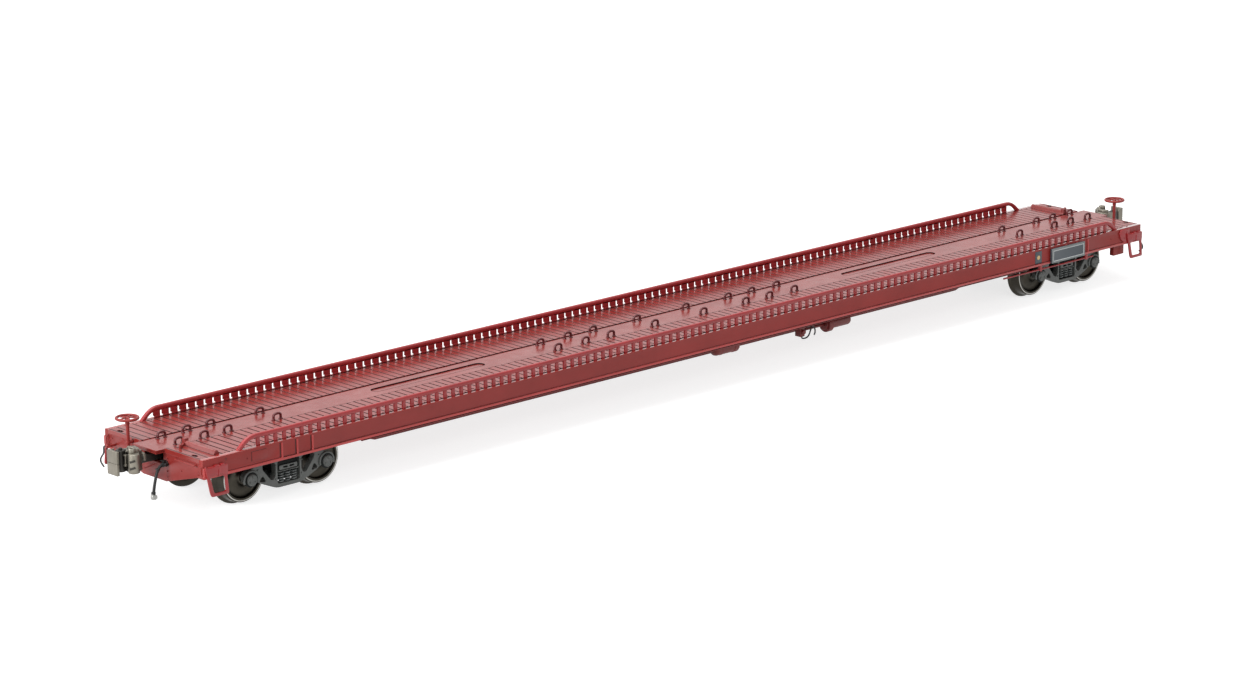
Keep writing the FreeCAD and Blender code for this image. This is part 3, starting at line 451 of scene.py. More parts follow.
def plank_paint(name, first):
    """Glossy paint over planks from a first edge on: each has its own tone, a grain and painted shade in its groove."""
    made, tree, shader = new_material(name)
    own, grain, groove = apply_effect(tree, planks, First=first * mm)
    tone, height = apply_effect(tree, spray_grain)
    mixed = calc(tree, "ADD", calc(tree, "MULTIPLY", own, 0.55), calc(tree, "MULTIPLY", tone, 0.45))
    dusty = apply_effect(tree, settled_dust, Amount=0.05)[0]
    wood = blend_colour(tree, dusty, blend_colour(tree, mixed, (0.185, 0.016, 0.013), (0.235, 0.024, 0.020)),
                        (0.50, 0.36, 0.34))
    # Inside each groove the colour turns near-black: painted shade.
    feed(tree, shader["Base Color"], blend_colour(tree, groove, wood, (0.020, 0.003, 0.003)))
    feed(tree, shader["Roughness"], calc(tree, "ADD", span(tree, own, 0.20, 0.28), calc(tree, "MULTIPLY", groove, 0.5)))
    relief = calc(tree, "ADD", calc(tree, "MULTIPLY", grain, 0.7), calc(tree, "MULTIPLY", height, 0.3))
    feed(tree, shader["Normal"], put(tree, "Bump", Height=relief, Strength=0.12, Distance=0.00003).outputs[0])
    return made


dress(["deck_near"], plank_paint("near plank paint", plank_first))
dress(["deck_far"], plank_paint("far plank paint", -plank_first))
strip_paint = painted("strip paint", (0.225, 0.023, 0.019), (0.185, 0.017, 0.014), 0.22, 0.008, 0.7, 0.12)


def low_dome(radius, tall, segments=8):
    """A small round head on z = 0; whatever is left of its lower half sinks into what it stands on."""
    piece = add("uv_sphere", segments=segments, ring_count=6, radius=radius * mm)
    piece.scale.z = tall / radius
    settle(piece)
    in_mesh(("bisect", {"plane_co": (0, 0, 0), "plane_no": (0, 0, 1), "clear_inner": True, "use_fill": True}))
    return smoothed(piece)


def turned_twin(piece):
    """A piece and its copy half a turn round Z, joined."""
    return joined(piece, twin(piece))


def oblong(left, low, right, high):
    """The corners of a rectangle."""
    return [(left, low), (right, low), (right, high), (left, high)]


# The grooves hold painted shade: thin near-black bars that lie low in them. The smooth strip lies a
# little lower than the planks, and its two ovals are sunk again and edged with the same painted shade.
painted_shade_dark = painted("painted shade", (0.012, 0.003, 0.003), (0.007, 0.002, 0.002), 0.8, specular=0.05)
deck_top = 12.33
shade_bar_low, shade_bar_top = deck_top - 0.12, deck_top - 0.015
line_half, line_in, line_out = 0.13, 3.56, 13.55
line = block((-line_half, line_in, shade_bar_low), (line_half, line_out, shade_bar_top), 0.02)
lines = turned_twin(repeated(line, [(plank_first + plank_pitch * i, 0, 0) for i in range(1, plank_count - 1)]))
strip_half, strip_top, oval_x, oval_half, oval_r = 3.5, deck_top - 0.13, 65.0, 12.95, 1.23
# Along each edge of the strip a near-black bar is painted shade on the step down from the planks.
seam_y, seam_half, seam_end = 3.57, 0.1, 128.2
seams = [block((-seam_end, side * seam_y - seam_half, strip_top - 0.3),
               (seam_end, side * seam_y + seam_half, shade_bar_top), 0.02) for side in (-1, 1)]


def oval(radius, middle=0.0):
    """A long oval round a place on X: two half circles and the straight runs between them."""
    arcs = [(sign * oval_half, math.radians(start + 12 * i)) for sign, start in ((1, -90), (-1, 90)) for i in range(16)]
    return [(shift + radius * math.cos(a) + middle, radius * math.sin(a)) for shift, a in arcs]


strip_ends = [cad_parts["centre_strip"].bound_box[i][0] / mm for i in (0, 6)]
strip_line = oblong(strip_ends[0], -strip_half, strip_ends[1], strip_half)
strip_floor = block((strip_ends[0], -strip_half, strip_top - 0.7), (strip_ends[1], strip_half, strip_top - 0.2), 0.02)
strip_thick = 0.5
strip_plate = plate([strip_line, oval(oval_r, -oval_x), oval(oval_r, oval_x)], strip_thick, 0.02)
strip = joined(stood(strip_plate, at=(0, 0, strip_top - strip_thick / 2)), strip_floor)
pick(strip)
bpy.ops.object.shade_flat()
seat(strip, "strip_plate", strip_paint, "centre_strip")
rings = [stood(plate([oval(oval_r + 0.02), oval(oval_r - 0.08)], 0.22, 0.01), at=(x, 0, strip_top - 0.1))
         for x in (-oval_x, oval_x)]
seat(joined(lines, *seams, *rings), "painted_groove_shade", painted_shade_dark)

# The screw heads are painted much darker than the deck: painted shade of the holes they sit in.
screw_shade_paint = painted("plank screw paint in painted shade", (0.085, 0.009, 0.008), (0.05, 0.006, 0.006), 0.4, dust=0.02)
screws = repeated(low_dome(0.15, 0.07), [(plank_first + plank_pitch * (i + 0.5), y, 12.32)
                                         for i in range(plank_count) for y in (-13.35, 13.35)])
seat(screws, "plank_screws", screw_shade_paint)

# Side sills: long channels of the same plastic with stiffening ribs, the outer face of the wagon. The
# face has a satin coat; the lighter red on lip and ribs is a painted highlight, and the ledge on top is
# glossier than the deck, its lighter red a painted highlight. A hole, a rivet and a staple sit near each end.
sill_paint = painted("sill paint", (0.235, 0.021, 0.018), (0.195, 0.016, 0.013), 0.42, 0.010, 0.8, 0.02, 0.34)
ledge_gloss_and_highlight = painted("ledge paint with painted highlight", (0.300, 0.030, 0.026), (0.260, 0.024, 0.020), 0.12, 0.001, 0.7, 0.0)
lip_highlight_paint = painted("lip paint with painted highlight", (0.400, 0.036, 0.034), (0.340, 0.028, 0.026), 0.35, 0.005, 0.7, 0.0)
coat = ledge_gloss_and_highlight.node_tree.nodes["Principled BSDF"].inputs
coat["Coat Weight"].default_value = 1.0
coat["Coat Roughness"].default_value = 0.04
staple_line = [(-127.9, -15.0, 10.85), (-127.9, -15.35, 10.85), (-127.88, -15.4, 10.7), (-127.7, -15.4, 9.5),
               (-127.65, -15.35, 9.3), (-127.65, -15.0, 9.3)]
ledge_low, lip_top, lip_out, rib_out = 12.25, 9.25, 14.86, 15.0
for side, turn in (("near", 0), ("far", 180)):
    sill = moulded_copy("side_sill_" + side, 0.05)
    trim = []
    for flip in (1, -1):
        trim.append(tube([(flip * x, y, z) for x, y, z in staple_line], 0.12))
        trim.append(stood(low_dome(0.16, 0.09), (90, 0, 0), (flip * -121.07, -14.84, 10.65)))
        trim += [stood(low_dome(0.15, 0.09), (90, 0, 0), (flip * x, -15.14, z))
                 for x, z in ((-130.6, 10.5), (-130.6, 9.0), (-129.3, 10.5), (-127.1, 9.0))]
    whole = finished(joined(sill, stood(joined(*trim), (0, 0, turn))), sill_paint, ledge_gloss_and_highlight, lip_highlight_paint)
    # Upward faces of the ledge and the outer faces of lip and ribs take the lighter paints: painted highlights.
    for face in whole.data.polygons:
        if face.normal.z > 0.9 and face.center.z > ledge_low * mm:
            face.material_index = 1
        elif abs(face.center.y) > (lip_out if face.center.z < lip_top * mm else rib_out) * mm:
            face.material_index = 2
    seat(whole, "sill_" + side, None, "side_sill_" + side)

# Where ribs, lip and pad meet the web, thin dark strips are painted shade in the corners
corner_shade_red = painted("painted shade in the corners", (0.060, 0.004, 0.004), (0.035, 0.003, 0.003), 0.6)
corners = [block((-130.9, -14.86, 9.19), (130.9, -14.8, 9.3), 0.01),
           block((-120.14, -14.87, 9.85), (-119.99, -14.8, 11.7), 0.01),
           block((-120.14, -14.87, 11.6), (-116.6, -14.8, 11.72), 0.01)]
for flip in (-1, 1):
    for rib_x in (105.9, 109.5, 113.1):
        left, right = sorted((flip * (rib_x + 0.16), flip * (rib_x + 0.46)))
        corners.append(block((left, -14.865, 9.22), (right, -14.8, 12.05), 0.02))
seat(turned_twin(joined(*corners)), "sill_corner_shade", corner_shade_red)

# The channel's lower flange turns in under the lip, painted near-black as its shade, with a bead along its edge
flange = finished(block((-94.0, -14.62, 8.36), (94.0, -14.0, 8.72), 0.04), painted_shade_dark)
bead = finished(block((-94.0, -14.68, 8.28), (94.0, -14.45, 8.4), 0.03), underframe_paint)
seat(turned_twin(joined(flange, bead)), "sill_flanges", None)

# The small holes near the sill ends are near-black: painted shade in the recess.
hole_shade_dark = painted("painted shade in a recess", (0.012, 0.006, 0.006), (0.006, 0.003, 0.003), 0.7)
hole = stood(turned([(0, -0.05), (0.2, -0.05), (0.24, 0.02), (0.17, 0.03), (0.15, -0.03), (0, -0.04)], 16), (90, 0, 0),
             (0, -14.84, 11.56))
seat(turned_twin(repeated(hole, [(-125.95, 0, 0), (125.95, 0, 0)])), "sill_holes", hole_shade_dark)

# End sills: the deep plate across each end, with the coupler's mouth, a grab iron and fixings by each
# corner. Moulded in one with the underframe, so its edges are soft and its fixings are domes.
plate_x, grab_y = 131.1, 14.35
end_sill = moulded_copy("end_sill_b", 0.07)
heads = [stood(low_dome(0.2, 0.13), (0, 90, 0), (plate_x, side * y, z)) for side in (-1, 1)
         for y, z in ((4.0, 10.5), (4.0, 8.0), (4.0, 6.8), (8.2, 9.0), (12.9, 10.8), (13.6, 10.3), (13.4, 9.6))]
grabs = [block((plate_x - 0.05, side * grab_y - wide, low), (plate_x + 0.3, side * grab_y + wide, high))
         for wide, low, high in ((0.4, 9.3, 9.55), (0.4, 10.9, 11.15), (0.12, 9.5, 10.95)) for side in (-1, 1)]
seat_both(joined(end_sill, *heads, *grabs), "end_plate_{}", sill_paint, "end_sill_{}")

# Beside each end plate a small box for the hand brake's chain hangs under one sill, and the deck has
# a square drain hole by each corner, drawn as a thin near-black patch of painted shade.
chain_box = block((123.6, -13.6, 6.1), (127.1, -12.4, 8.9), 0.15, 3)
seat_both(chain_box, "chain_box_{}", sill_paint)
drains = [block((x * 130.25 - 0.42, y * 11.3 - 0.36, 12.2), (x * 130.25 + 0.42, y * 11.3 + 0.36, 12.345), 0.02)
          for x in (-1, 1) for y in (-1, 1)]
seat(joined(*drains), "drain_holes", painted_shade_dark)

# A thin red rod hooks under each coupler, from the end plate to the uncoupling lever's eye.
hook = tube([(131.0, 0.3, 8.7), (131.7, 0.1, 8.5), (132.2, -1.1, 7.8), (132.3, -2.4, 7.35), (132.5, -3.4, 7.7),
             (132.8, -3.6, 8.8), (132.9, -3.3, 9.6)], 0.12)
seat_both(hook, "lift_rod_{}", sill_paint)

# Side rails: one moulding a side, glued along the deck's edge. A rounded tube whose ends bend down to
# the deck runs over a row of posts on a thin foot; bright red plastic under a thin coat of paint.
rail_paint = painted("rail paint", (0.300, 0.014, 0.017), (0.240, 0.010, 0.012), 0.32, 0.008, 1.2, 0.02)
rail_y, longer = 14.0, 0.9
rail_end, rail_level, tube_z = 122.475, 118.65, deck_top + 1.94
slot_pitch, slot_count = 2.05, 115
row_start = -slot_count * slot_pitch / 2
row_low, row_high = row_start - 0.3, row_start + slot_pitch * (slot_count + 1) + 0.3

section = bare_curve()
section.data.dimensions = "2D"
add_line(section, "POLY", soft_corners(oblong(-0.41, -0.42, 0.41, 0.42), 0.3, 3))
rail = bare_curve("bezier_curve")
line = rail.data.splines.new("BEZIER")
line.bezier_points.add(3)
lean, rise = (rail_end - rail_level) * 0.36, (tube_z - deck_top) * 0.70
reach = (rail_end - rail_level) * 0.42
foot_x, foot_z = rail_end + 0.15, deck_top - 0.3
stops = [((-foot_x, foot_z), (0, 0), (lean, rise)), ((-rail_level, tube_z), (-reach, 0), (1, 0)),
         ((rail_level + longer, tube_z), (-1, 0), (reach, 0)), ((foot_x + longer, foot_z), (-lean, rise), (0, 0))]
for point, ((x, z), before, after) in zip(line.bezier_points, stops):
    point.handle_left_type = point.handle_right_type = "FREE"
    point.co = (x * mm, 0, z * mm)
    point.handle_left = ((x + before[0]) * mm, 0, (z + before[1]) * mm)
    point.handle_right = ((x + after[0]) * mm, 0, (z + after[1]) * mm)
line.resolution_u = 14
rail.data.bevel_mode = "OBJECT"
rail.data.bevel_object = section
rail.data.use_fill_caps = True
bpy.ops.object.convert(target="MESH")
rail = smoothed(bpy.context.object)
bpy.data.objects.remove(section)
far_rail = twin(rail, 0)


def post_row(half, deep, notch):
    """The posts of one rail, from just inside its outer face; a notch widens each slot's foot."""
    face_y = -0.16
    post = joined(block((-half, face_y, deck_top + 0.42), (half, face_y + deep, deck_top + 2.0), 0.05),
                  block((-half, face_y, deck_top - 0.02), (half - notch, face_y + deep, deck_top + 0.5), 0.05))
    return repeated(post, [(row_start + slot_pitch * i, 0, 0) for i in range(slot_count + 2)])


web = block((row_low, -0.16, deck_top + 1.27), (row_high, 0.16, deck_top + 1.7), 0.05)
rail, far_rail = joined(rail, post_row(0.39, 0.34, 0)), joined(far_rail, web, post_row(0.80, 0.32, 0.30))
seat(stood(rail, at=(0, -rail_y, 0)), "rail_near", rail_paint, "side_rail_near")
seat(stood(far_rail, (0, 0, 180), (0, rail_y, 0)), "rail_far", rail_paint, "side_rail_far")

# The glue line under the rails: a low foot in the shade of the posts, painted near-black as that shade
foot = block((row_low, -0.02, deck_top - 0.02), (row_high, 0.2, deck_top + 0.075), 0.02)
seat(turned_twin(stood(foot, at=(0, -rail_y, 0))), "rail_feet", painted_shade_dark)

# Tie-down loops: wire bent into arches, pushed into holes along both edges of the strip, each foot in
# a small collar, under a darker coat of the rails' red.
loop = tube([(-0.85, 0, -0.3), (-0.85, 0, 0.25), (-0.85, 0, 0.80), (-0.42, 0, 1.05), (0.42, 0, 1.05), (0.85, 0, 0.80),
             (0.85, 0, 0.25), (0.85, 0, -0.3)], 0.25, 3)
collar = turned([(0, -0.22), (0.40, -0.22), (0.42, -0.16), (0.40, 0.0), (0.28, 0.08), (0, 0.08)], 12)
loop = joined(loop, repeated(collar, [(-0.85, 0, 0), (0.85, 0, 0)]))
loop_paint = painted("loop paint", (0.095, 0.006, 0.008), (0.065, 0.004, 0.005), 0.30, 0.008, 1.2, 0.0)
loop_places = {"a": [-127.3, -121.5, -116.0, -104.4], "mid": [-33.4, -26.0, -19.1, -6.9, 6.9, 19.1, 26.0, 33.4],
               "b": [104.4, 116.0, 121.5, 127.3]}
for name, places in loop_places.items():
    row = repeated(twin(loop, 0), [(x, y, deck_top) for x in places for y in (-2.65, 2.65)])
    seat(row, "loops_" + name, loop_paint, "tie_loops_" + name)
bpy.data.objects.remove(loop)

# Hinge bars for the bridge plates, sill steps and side rods: red mouldings glued on, edges softened
# by the paint.
for end in ends:
    seat(moulded_copy("hinge_bar_" + end, 0.07), "hinge_" + end, underframe_paint, "hinge_bar_" + end)
step_edge = soft_corners([(0.0, 11.3), (0.1, 10.3), (1.0, 5.9), (1.35, 5.21), (5.1, 5.21), (5.25, 5.5), (4.95, 8.7),
                          (5.1, 9.3), (5.1, 10.85), (0.5, 10.85)], 0.25)
step_gap = soft_corners([(1.1, 9.0), (1.85, 5.85), (4.6, 5.8), (4.35, 8.6), (3.7, 9.15), (1.9, 9.2)], 0.45)
step = stood(plate([step_edge, step_gap], 0.36, 0.1), (90, 0, 0), (0, -15.32, 0))
step_bar = block((2.9, -15.6, 8.95), (3.2, -15.1, 10.3), 0.08)
step_tops = [block((x, -15.5, 10.8), (x + 0.8, -14.8, 11.1), 0.08) for x in (2.2, 3.6)]
side_steps = repeated(joined(step, step_bar, *step_tops), [(-131.1, 0, 0), (126.0, 0, 0)])
gusset_line = soft_corners([(127.2, 12.15), (124.3, 12.15), (123.75, 11.5), (123.8, 10.8), (124.2, 10.0), (125.0, 9.35),
                            (126.0, 9.0), (127.2, 8.95)], 0.3)
gusset = stood(plate([gusset_line], 0.34, 0.1), (90, 0, 0), (0, -15.0, 0))
gusset_heads = [stood(low_dome(0.17, 0.12), (90, 0, 0), (x, -15.15, z))
                for x, z in ((125.4, 10.2), (126.4, 9.9), (126.1, 11.4))]
seat(turned_twin(joined(side_steps, gusset, *gusset_heads)), "steps", rail_paint, "sill_steps")


def drum(radius, low, high, inset=0.02, corner=0.04, steps=14):
    """A short round piece on Z between two heights, with broken edges."""
    return turned([(0, low), (radius - inset, low), (radius, low + corner), (radius, high - corner),
                   (radius - inset, high), (0, high)], steps)


rod_z = 7.65
side_rod = tube([(86.0, 0, rod_z), (95.5, 0, rod_z), (97.0, 0, rod_z), (115.5, 0, rod_z)], 0.2)
hangers = [block((x - 0.45, -0.3, 7.4), (x + 0.45, 0.3, 8.9), 0.1) for x in (97.9, 113.1)]
eyes = [stood(drum(0.38, -0.35, 0.35, 0.02, 0.05), (90, 0, 0), (x, 0, rod_z)) for x in (97.9, 113.1)]
side_rod = stood(joined(side_rod, *hangers, *eyes), at=(0, -14.4, 0))
for side, rod in (("near", side_rod), ("far", twin(side_rod))):
    seat(rod, "side_rod_" + side, rail_paint, "sill_rod_" + side)

# Hand brakes: a flat five-spoked wheel with a round rim, on a stem held to the end sill by two clips.
wheel_x, wheel_y, wheel_z = 132.25, -6.25, 16.3
rim = smoothed(add("torus", major_radius=2.04 * mm, minor_radius=0.27 * mm, major_segments=48, minor_segments=10), 60)
spoke = tube([(0.3, 0, 0.12), (0.9, 0, 0.08), (1.4, 0, -0.02), (2.05, 0, 0)], 0.16)
spokes = repeated(spoke, [(0, 0, 0)] * 5, [72 * i for i in range(5)])
hub = turned([(0, -0.4), (0.42, -0.4), (0.48, -0.3), (0.48, 0.04), (0.4, 0.12), (0.2, 0.16), (0.18, 0.25), (0, 0.28)],
             18)
brake_wheel = stood(joined(rim, spokes, hub), at=(wheel_x, wheel_y, wheel_z))
stem = stood(turned([(0, 9.6), (0.34, 9.6), (0.34, 15.0), (0.42, 15.1), (0.42, 15.6), (0.34, 15.7), (0.34, 16.1),
                     (0, 16.1)], 14), at=(wheel_x, wheel_y, 0))
clips = [block((131.2, wheel_y - 0.42, z), (wheel_x + 0.1, wheel_y + 0.42, z + 0.46), 0.1) for z in (9.92, 11.4)]
collars = [stood(drum(0.46, 0, 0.46, steps=16), at=(wheel_x, wheel_y, z)) for z in (9.92, 11.4)]
seat_both(joined(brake_wheel, stem, *clips, *collars), "brake_wheel_{}", sill_paint, "hand_brake_{}")

# Air hoses: black mouldings with a cock and a bracket on the end sill, and a bare metal coupling at
# the free end.
hose_rubber = painted("hose rubber", (0.010, 0.010, 0.010), (0.006, 0.006, 0.006), 0.42, 0.03, 1.6, 0.01, 0.3)
hose_y, cock_z = 4.0, 9.45
pipe = tube([(131.0, hose_y, cock_z), (132.2, hose_y, cock_z), (132.9, hose_y, 9.2), (133.45, hose_y, 8.4),
             (133.85, hose_y, 7.2), (134.2, hose_y, 5.8), (134.45, hose_y, 4.3)], 0.29, 3)
cock = [stood(turned([(0, 0), (0.45, 0), (0.45, 0.3), (0.36, 0.36), (0.36, 0.8), (0.47, 0.86), (0.47, 1.2), (0.38, 1.3),
                      (0, 1.3)], 16), (0, 90, 0), (131.05, hose_y, cock_z)),
        stood(drum(0.34, 0, 1.33, 0.04, 0.08), (90, 0, 0), (131.75, hose_y + 0.66, cock_z)),
        block((131.55, hose_y - 0.12, cock_z + 0.3), (131.95, hose_y + 0.12, cock_z + 0.75), 0.05),
        block((131.3, hose_y - 0.9, cock_z + 0.55), (132.0, hose_y + 0.15, cock_z + 0.75), 0.06),
        stood(drum(0.42, 0, 0.3), (0, 140, 0), (133.25, hose_y, 8.85)),
        stood(drum(0.42, 0, 0.44), (0, 172, 0), (134.42, hose_y, 4.75))]
seat_both(joined(pipe, *cock), "hose_{}", hose_rubber, "air_hose_{}", slot="hose_black")
fitting_metal = bare_metal("bare fitting metal", (0.20, 0.20, 0.19), (0.42, 0.42, 0.40), 0.22, 0.40)
coupling = [stood(turned([(0, 0), (0.38, 0.02), (0.5, 0.14), (0.52, 0.4), (0.46, 0.75), (0.36, 0.95), (0.34, 1.15),
                          (0, 1.15)], 18), (0, 6, 0), (134.42, hose_y, 3.36)),
            stood(turned([(0, 0), (0.42, 0), (0.46, 0.05), (0.46, 0.2), (0.4, 0.26), (0, 0.26)], 16), (90, 0, 0),
                  (134.45, hose_y + 0.6, 3.85))]
seat_both(joined(*coupling), "hose_coupling_{}", fitting_metal, slot="hose_black")

# Uncoupling levers: stiff black wire through two eyes on the end sill, its handle bent down past the
# corner and out again.
lever_x = 133.0
handle_line = [(-12.2, 9.72), (-12.75, 9.7), (-12.95, 9.4), (-12.9, 8.7), (-13.1, 8.1), (-13.9, 7.3), (-14.15, 6.75),
               (-13.95, 6.2), (-13.1, 5.6)]
lever = tube([(lever_x, y, z) for y, z in handle_line], 0.18, 3)
lever_bar = tube([(lever_x, y, z) for y, z in ((-2.9, 9.8), (-4.0, 9.8), (-11.0, 9.74), (-12.4, 9.72))], 0.17, 3)
wire_eyes = [block((131.1, y - 0.18, 9.6), (133.15, y + 0.18, 10.0), 0.1) for y in (-4.2, -11.75)]
rings = [stood(drum(0.33, -0.2, 0.2, 0.03, 0.05), (90, 0, 0), (lever_x, y, 9.8)) for y in (-4.2, -11.75)]
seat_both(lever, "lever_handle_{}", wire_black, "uncoupling_lever_{}", slot="wire_black")
seat_both(joined(lever_bar, *wire_eyes, *rings), "lever_bar_{}", sill_paint, slot="wire_black")

# Side plates: a blank dark panel in a grey frame with a thin pale border, over one truck on each side;
# beside it a small dark square with a tan dot. Thin mouldings, glued on and painted.
frame_grey = painted("plate frame grey", (0.17, 0.19, 0.19), (0.13, 0.15, 0.15), 0.42, dust=0.03)
panel_dark = painted("plate panel", (0.045, 0.058, 0.070), (0.034, 0.045, 0.056), 0.38, dust=0.03)
border_pale = painted("plate border", (0.58, 0.60, 0.60), (0.48, 0.50, 0.50), 0.45, dust=0.03)
dot_tan = painted("dot tan", (0.66, 0.46, 0.20), (0.56, 0.38, 0.16), 0.45, dust=0.02)

# The board's outer face is inset twice, for the border and for the panel that lies a little deeper
board = finished(block((100.35, -15.76, 8.75), (111.25, -15.16, 11.95), 0.08), frame_grey, border_pale, panel_dark)
for face in board.data.polygons:
    face.select = face.normal.y < -0.99 and face.area > (1 * mm) ** 2
    face.material_index = 2 if face.normal.y > -0.3 else 0
bpy.ops.object.mode_set(mode="EDIT")
bpy.ops.mesh.select_mode(type="FACE")
for index, (width, drop) in enumerate([(0.32, 0), (0.14, 0.03)], 1):
    bpy.ops.mesh.inset(thickness=width * mm, depth=-drop * mm)
    board.active_material_index = index
    bpy.ops.object.material_slot_assign()
bpy.ops.object.mode_set(mode="OBJECT")
square = finished(block((95.7, -14.93, 9.25), (97.8, -14.8, 11.95), 0.03), panel_dark)
dot = stood(turned([(0, 0), (0.46, 0), (0.48, 0.02), (0.46, 0.05), (0, 0.05)], 24), (90, 0, 0), (96.75, -14.92, 10.6))
mark = joined(square, finished(dot, dot_tan))
for side, large, small in (("near", board, mark), ("far", twin(board), twin(mark))):
    seat(large, "plate_" + side, None, "side_plate_" + side, slot="plate_grey")
    seat(small, "dot_plate_" + side, None, slot="plate_grey")

# Trucks: glass-filled plastic side frames in a dark grey-green, left unpainted. Each side frame is one
# moulding with truss windows; coil springs stand in the middle window under the bolster's end.
truck_at, axle_out, axle_z = 109.5, 8.9, 5.45
frame_in, frame_out = 10.7, 12.3
truck_plastic = painted("truck plastic", (0.083, 0.088, 0.083), (0.058, 0.062, 0.058), 0.40, 0.03, 1.6, 0.04)
# A near-black copy of the truck plastic: painted shade for what lies deep in the truck.
shadow_plastic = painted("truck plastic in shade", (0.009, 0.010, 0.010), (0.005, 0.006, 0.006), 0.6, 0.02, 1.6, 0.0,
                         0.15)
right_edge = [(2.9, 2.45), (5.0, 3.35), (6.6, 4.05), (7.55, 4.7), (10.25, 4.7), (10.45, 6.2), (9.8, 6.95), (8.5, 7.55),
              (6.6, 8.4)]
edge_line = soft_corners(right_edge + [(-x, z) for x, z in right_edge[::-1]], 0.9)
big = [(3.15, 7.45), (6.1, 7.45), (5.95, 6.75), (4.15, 4.5), (3.6, 4.4), (3.15, 5.0)]
small = [(5.45, 4.35), (6.75, 4.6), (6.1, 5.45)]
middle = soft_corners(oblong(-2.5, 3.4, 2.5, 7.45), 0.3)
windows = [soft_corners([(way * x, z) for x, z in window], round_off)
           for window, round_off in ((big, 0.6), (small, 0.3)) for way in (1, -1)]

# The side frame on the -Y side, with a sunk face between its flanges and a hood over each bearing
cheek = plate([edge_line, middle, *windows], frame_out - frame_in, 0.16, 3)
for face in cheek.data.polygons:
    face.select = face.normal.z > 0.999
bpy.ops.object.mode_set(mode="EDIT")
bpy.ops.mesh.select_mode(type="FACE")
bpy.ops.mesh.inset(thickness=0.13 * mm, depth=-0.11 * mm)
bpy.ops.object.mode_set(mode="OBJECT")
stood(smoothed(cheek), (90, 0, 0), (0, -(frame_in + frame_out) / 2, 0))
hood_r = 1.66
angles = [math.radians(degrees) for degrees in (-20, 5, 35, 65, 90, 115, 145, 175, 200)]
hoods = [tube([(way * axle_out + hood_r * math.cos(a), -frame_out, axle_z + hood_r * math.sin(a)) for a in angles],
              0.24) for way in (1, -1)]
knobs = [stood(low_dome(0.2, 0.14), (90, 0, 0), (way * x, -frame_out + 0.08, z)) for way in (1, -1)
         for x, z in ((3.05, 6.9), (3.05, 4.3), (7.2, 6.9))]


def truck_set(piece, name, made, *nodes):
    """Seats a piece made round the origin under both ends."""
    seat_both(stood(piece, at=(truck_at, 0, 0)), name, made, *nodes, body="truck_{}", slot="truck_plastic")


frames = turned_twin(joined(cheek, *hoods, *knobs))
# The bolster between the frames is a deep box in the near-black plastic: painted shade behind the windows.
cross = joined(block((-2.3, -11.7, 5.6), (2.3, 11.7, 7.3), 0.12), block((-2.2, -10.3, 3.3), (2.2, 10.3, 5.7), 0.2))
centre_plate = turned([(0.98, 7.2), (2.2, 7.2), (2.2, 7.65), (2.12, 7.75), (1.0, 7.75), (0.98, 7.2)], 28)
bolster_face = plate([soft_corners(oblong(-2.1, 5.78, 2.1, 6.65), 0.2),
                      soft_corners(oblong(-1.2, 6.05, -0.1, 6.38), 0.14),
                      soft_corners(oblong(0.3, 6.05, 1.4, 6.38), 0.14)], 0.3, 0.06)
bolster_face = joined(stood(bolster_face, (90, 0, 0), (0, -11.95, 0)),
                      block((-2.4, -12.15, 5.46), (2.4, -10.8, 5.62), 0.05))
truck_set(joined(frames, centre_plate, turned_twin(bolster_face)), "side_frames_{}", truck_plastic, "truck_frame_{}")
truck_set(cross, "bolster_{}", shadow_plastic)

# Coil springs, each a small circle screwed upwards, and the posts in them painted near-black as shade
# The springs' plastic is smoother and paler than the frames: the paler colour is a painted highlight.
spring_gloss_and_highlight = painted("spring plastic with painted highlight", (0.11, 0.12, 0.118), (0.08, 0.09, 0.088), 0.24)
coil_r, wire_r, coil_low, coil_pitch, coil_turns = 0.53, 0.135, 3.5, 0.475, 4
coil_places = [(1.5 * i, side * 11.6, 0) for i in (-1, 0, 1) for side in (-1, 1)]
coil = settle(add("circle", vertices=8, radius=wire_r * mm, location=(coil_r * mm, 0, coil_low * mm),
                  rotation=(math.pi / 2, 0, 0)))
modified(coil, "SCREW", angle=2 * math.pi, screw_offset=coil_pitch * mm, iterations=coil_turns, steps=18,
         render_steps=18, use_merge_vertices=True, merge_threshold=0.0005 * mm)
in_mesh(("fill_holes", {"sides": 8}), outwards)
springs = repeated(smoothed(coil, 60), coil_places)
core = turned([(0, 3.38), (0.66, 3.38), (0.66, 3.46), (0.36, 3.5), (0.36, 5.42), (0.6, 5.46), (0.6, 5.5), (0, 5.5)], 14)
cores = repeated(core, coil_places)
truck_set(springs, "coils_{}", spring_gloss_and_highlight, "truck_springs_{}")


def at_axles(piece):
    """A piece made on Z, stood out from the side frames over all four axle ends of a truck."""
    piece = stood(piece, (90, 0, 0), (0, -frame_out, axle_z))
    return turned_twin(repeated(piece, [(way * axle_out, 0, 0) for way in (1, -1)]))


# A near-black collar round each bearing cap: painted shade of the recess round it.
collar = turned([(1.0, -0.1), (1.46, -0.1), (1.46, 0.12), (1.4, 0.18), (1.1, 0.18), (1.0, 0.1), (1.0, -0.1)], 32)
truck_set(joined(cores, at_axles(collar)), "truck_hollows_{}", shadow_plastic)
cap = turned([(0, -0.3), (1.12, -0.3), (1.14, 0.3), (1.12, 0.44), (1.04, 0.5), (1.0, 0.58), (0.88, 0.6), (0.8, 0.54),
              (0.5, 0.54), (0.42, 0.6), (0, 0.6)], 32)
truck_set(at_axles(joined(cap, bolt_ring(3, 0.72, 0.58, 0.16, 90))), "axle_caps_{}", truck_plastic, "bearing_caps_{}")
# The brake shoes take the near-black plastic: painted shade.
for end in ends:
    seat(moulded_copy("brake_beams_" + end, 0.09), "brake_shoes_" + end, shadow_plastic, "brake_beams_" + end,
         body="truck_" + end, slot="truck_plastic")
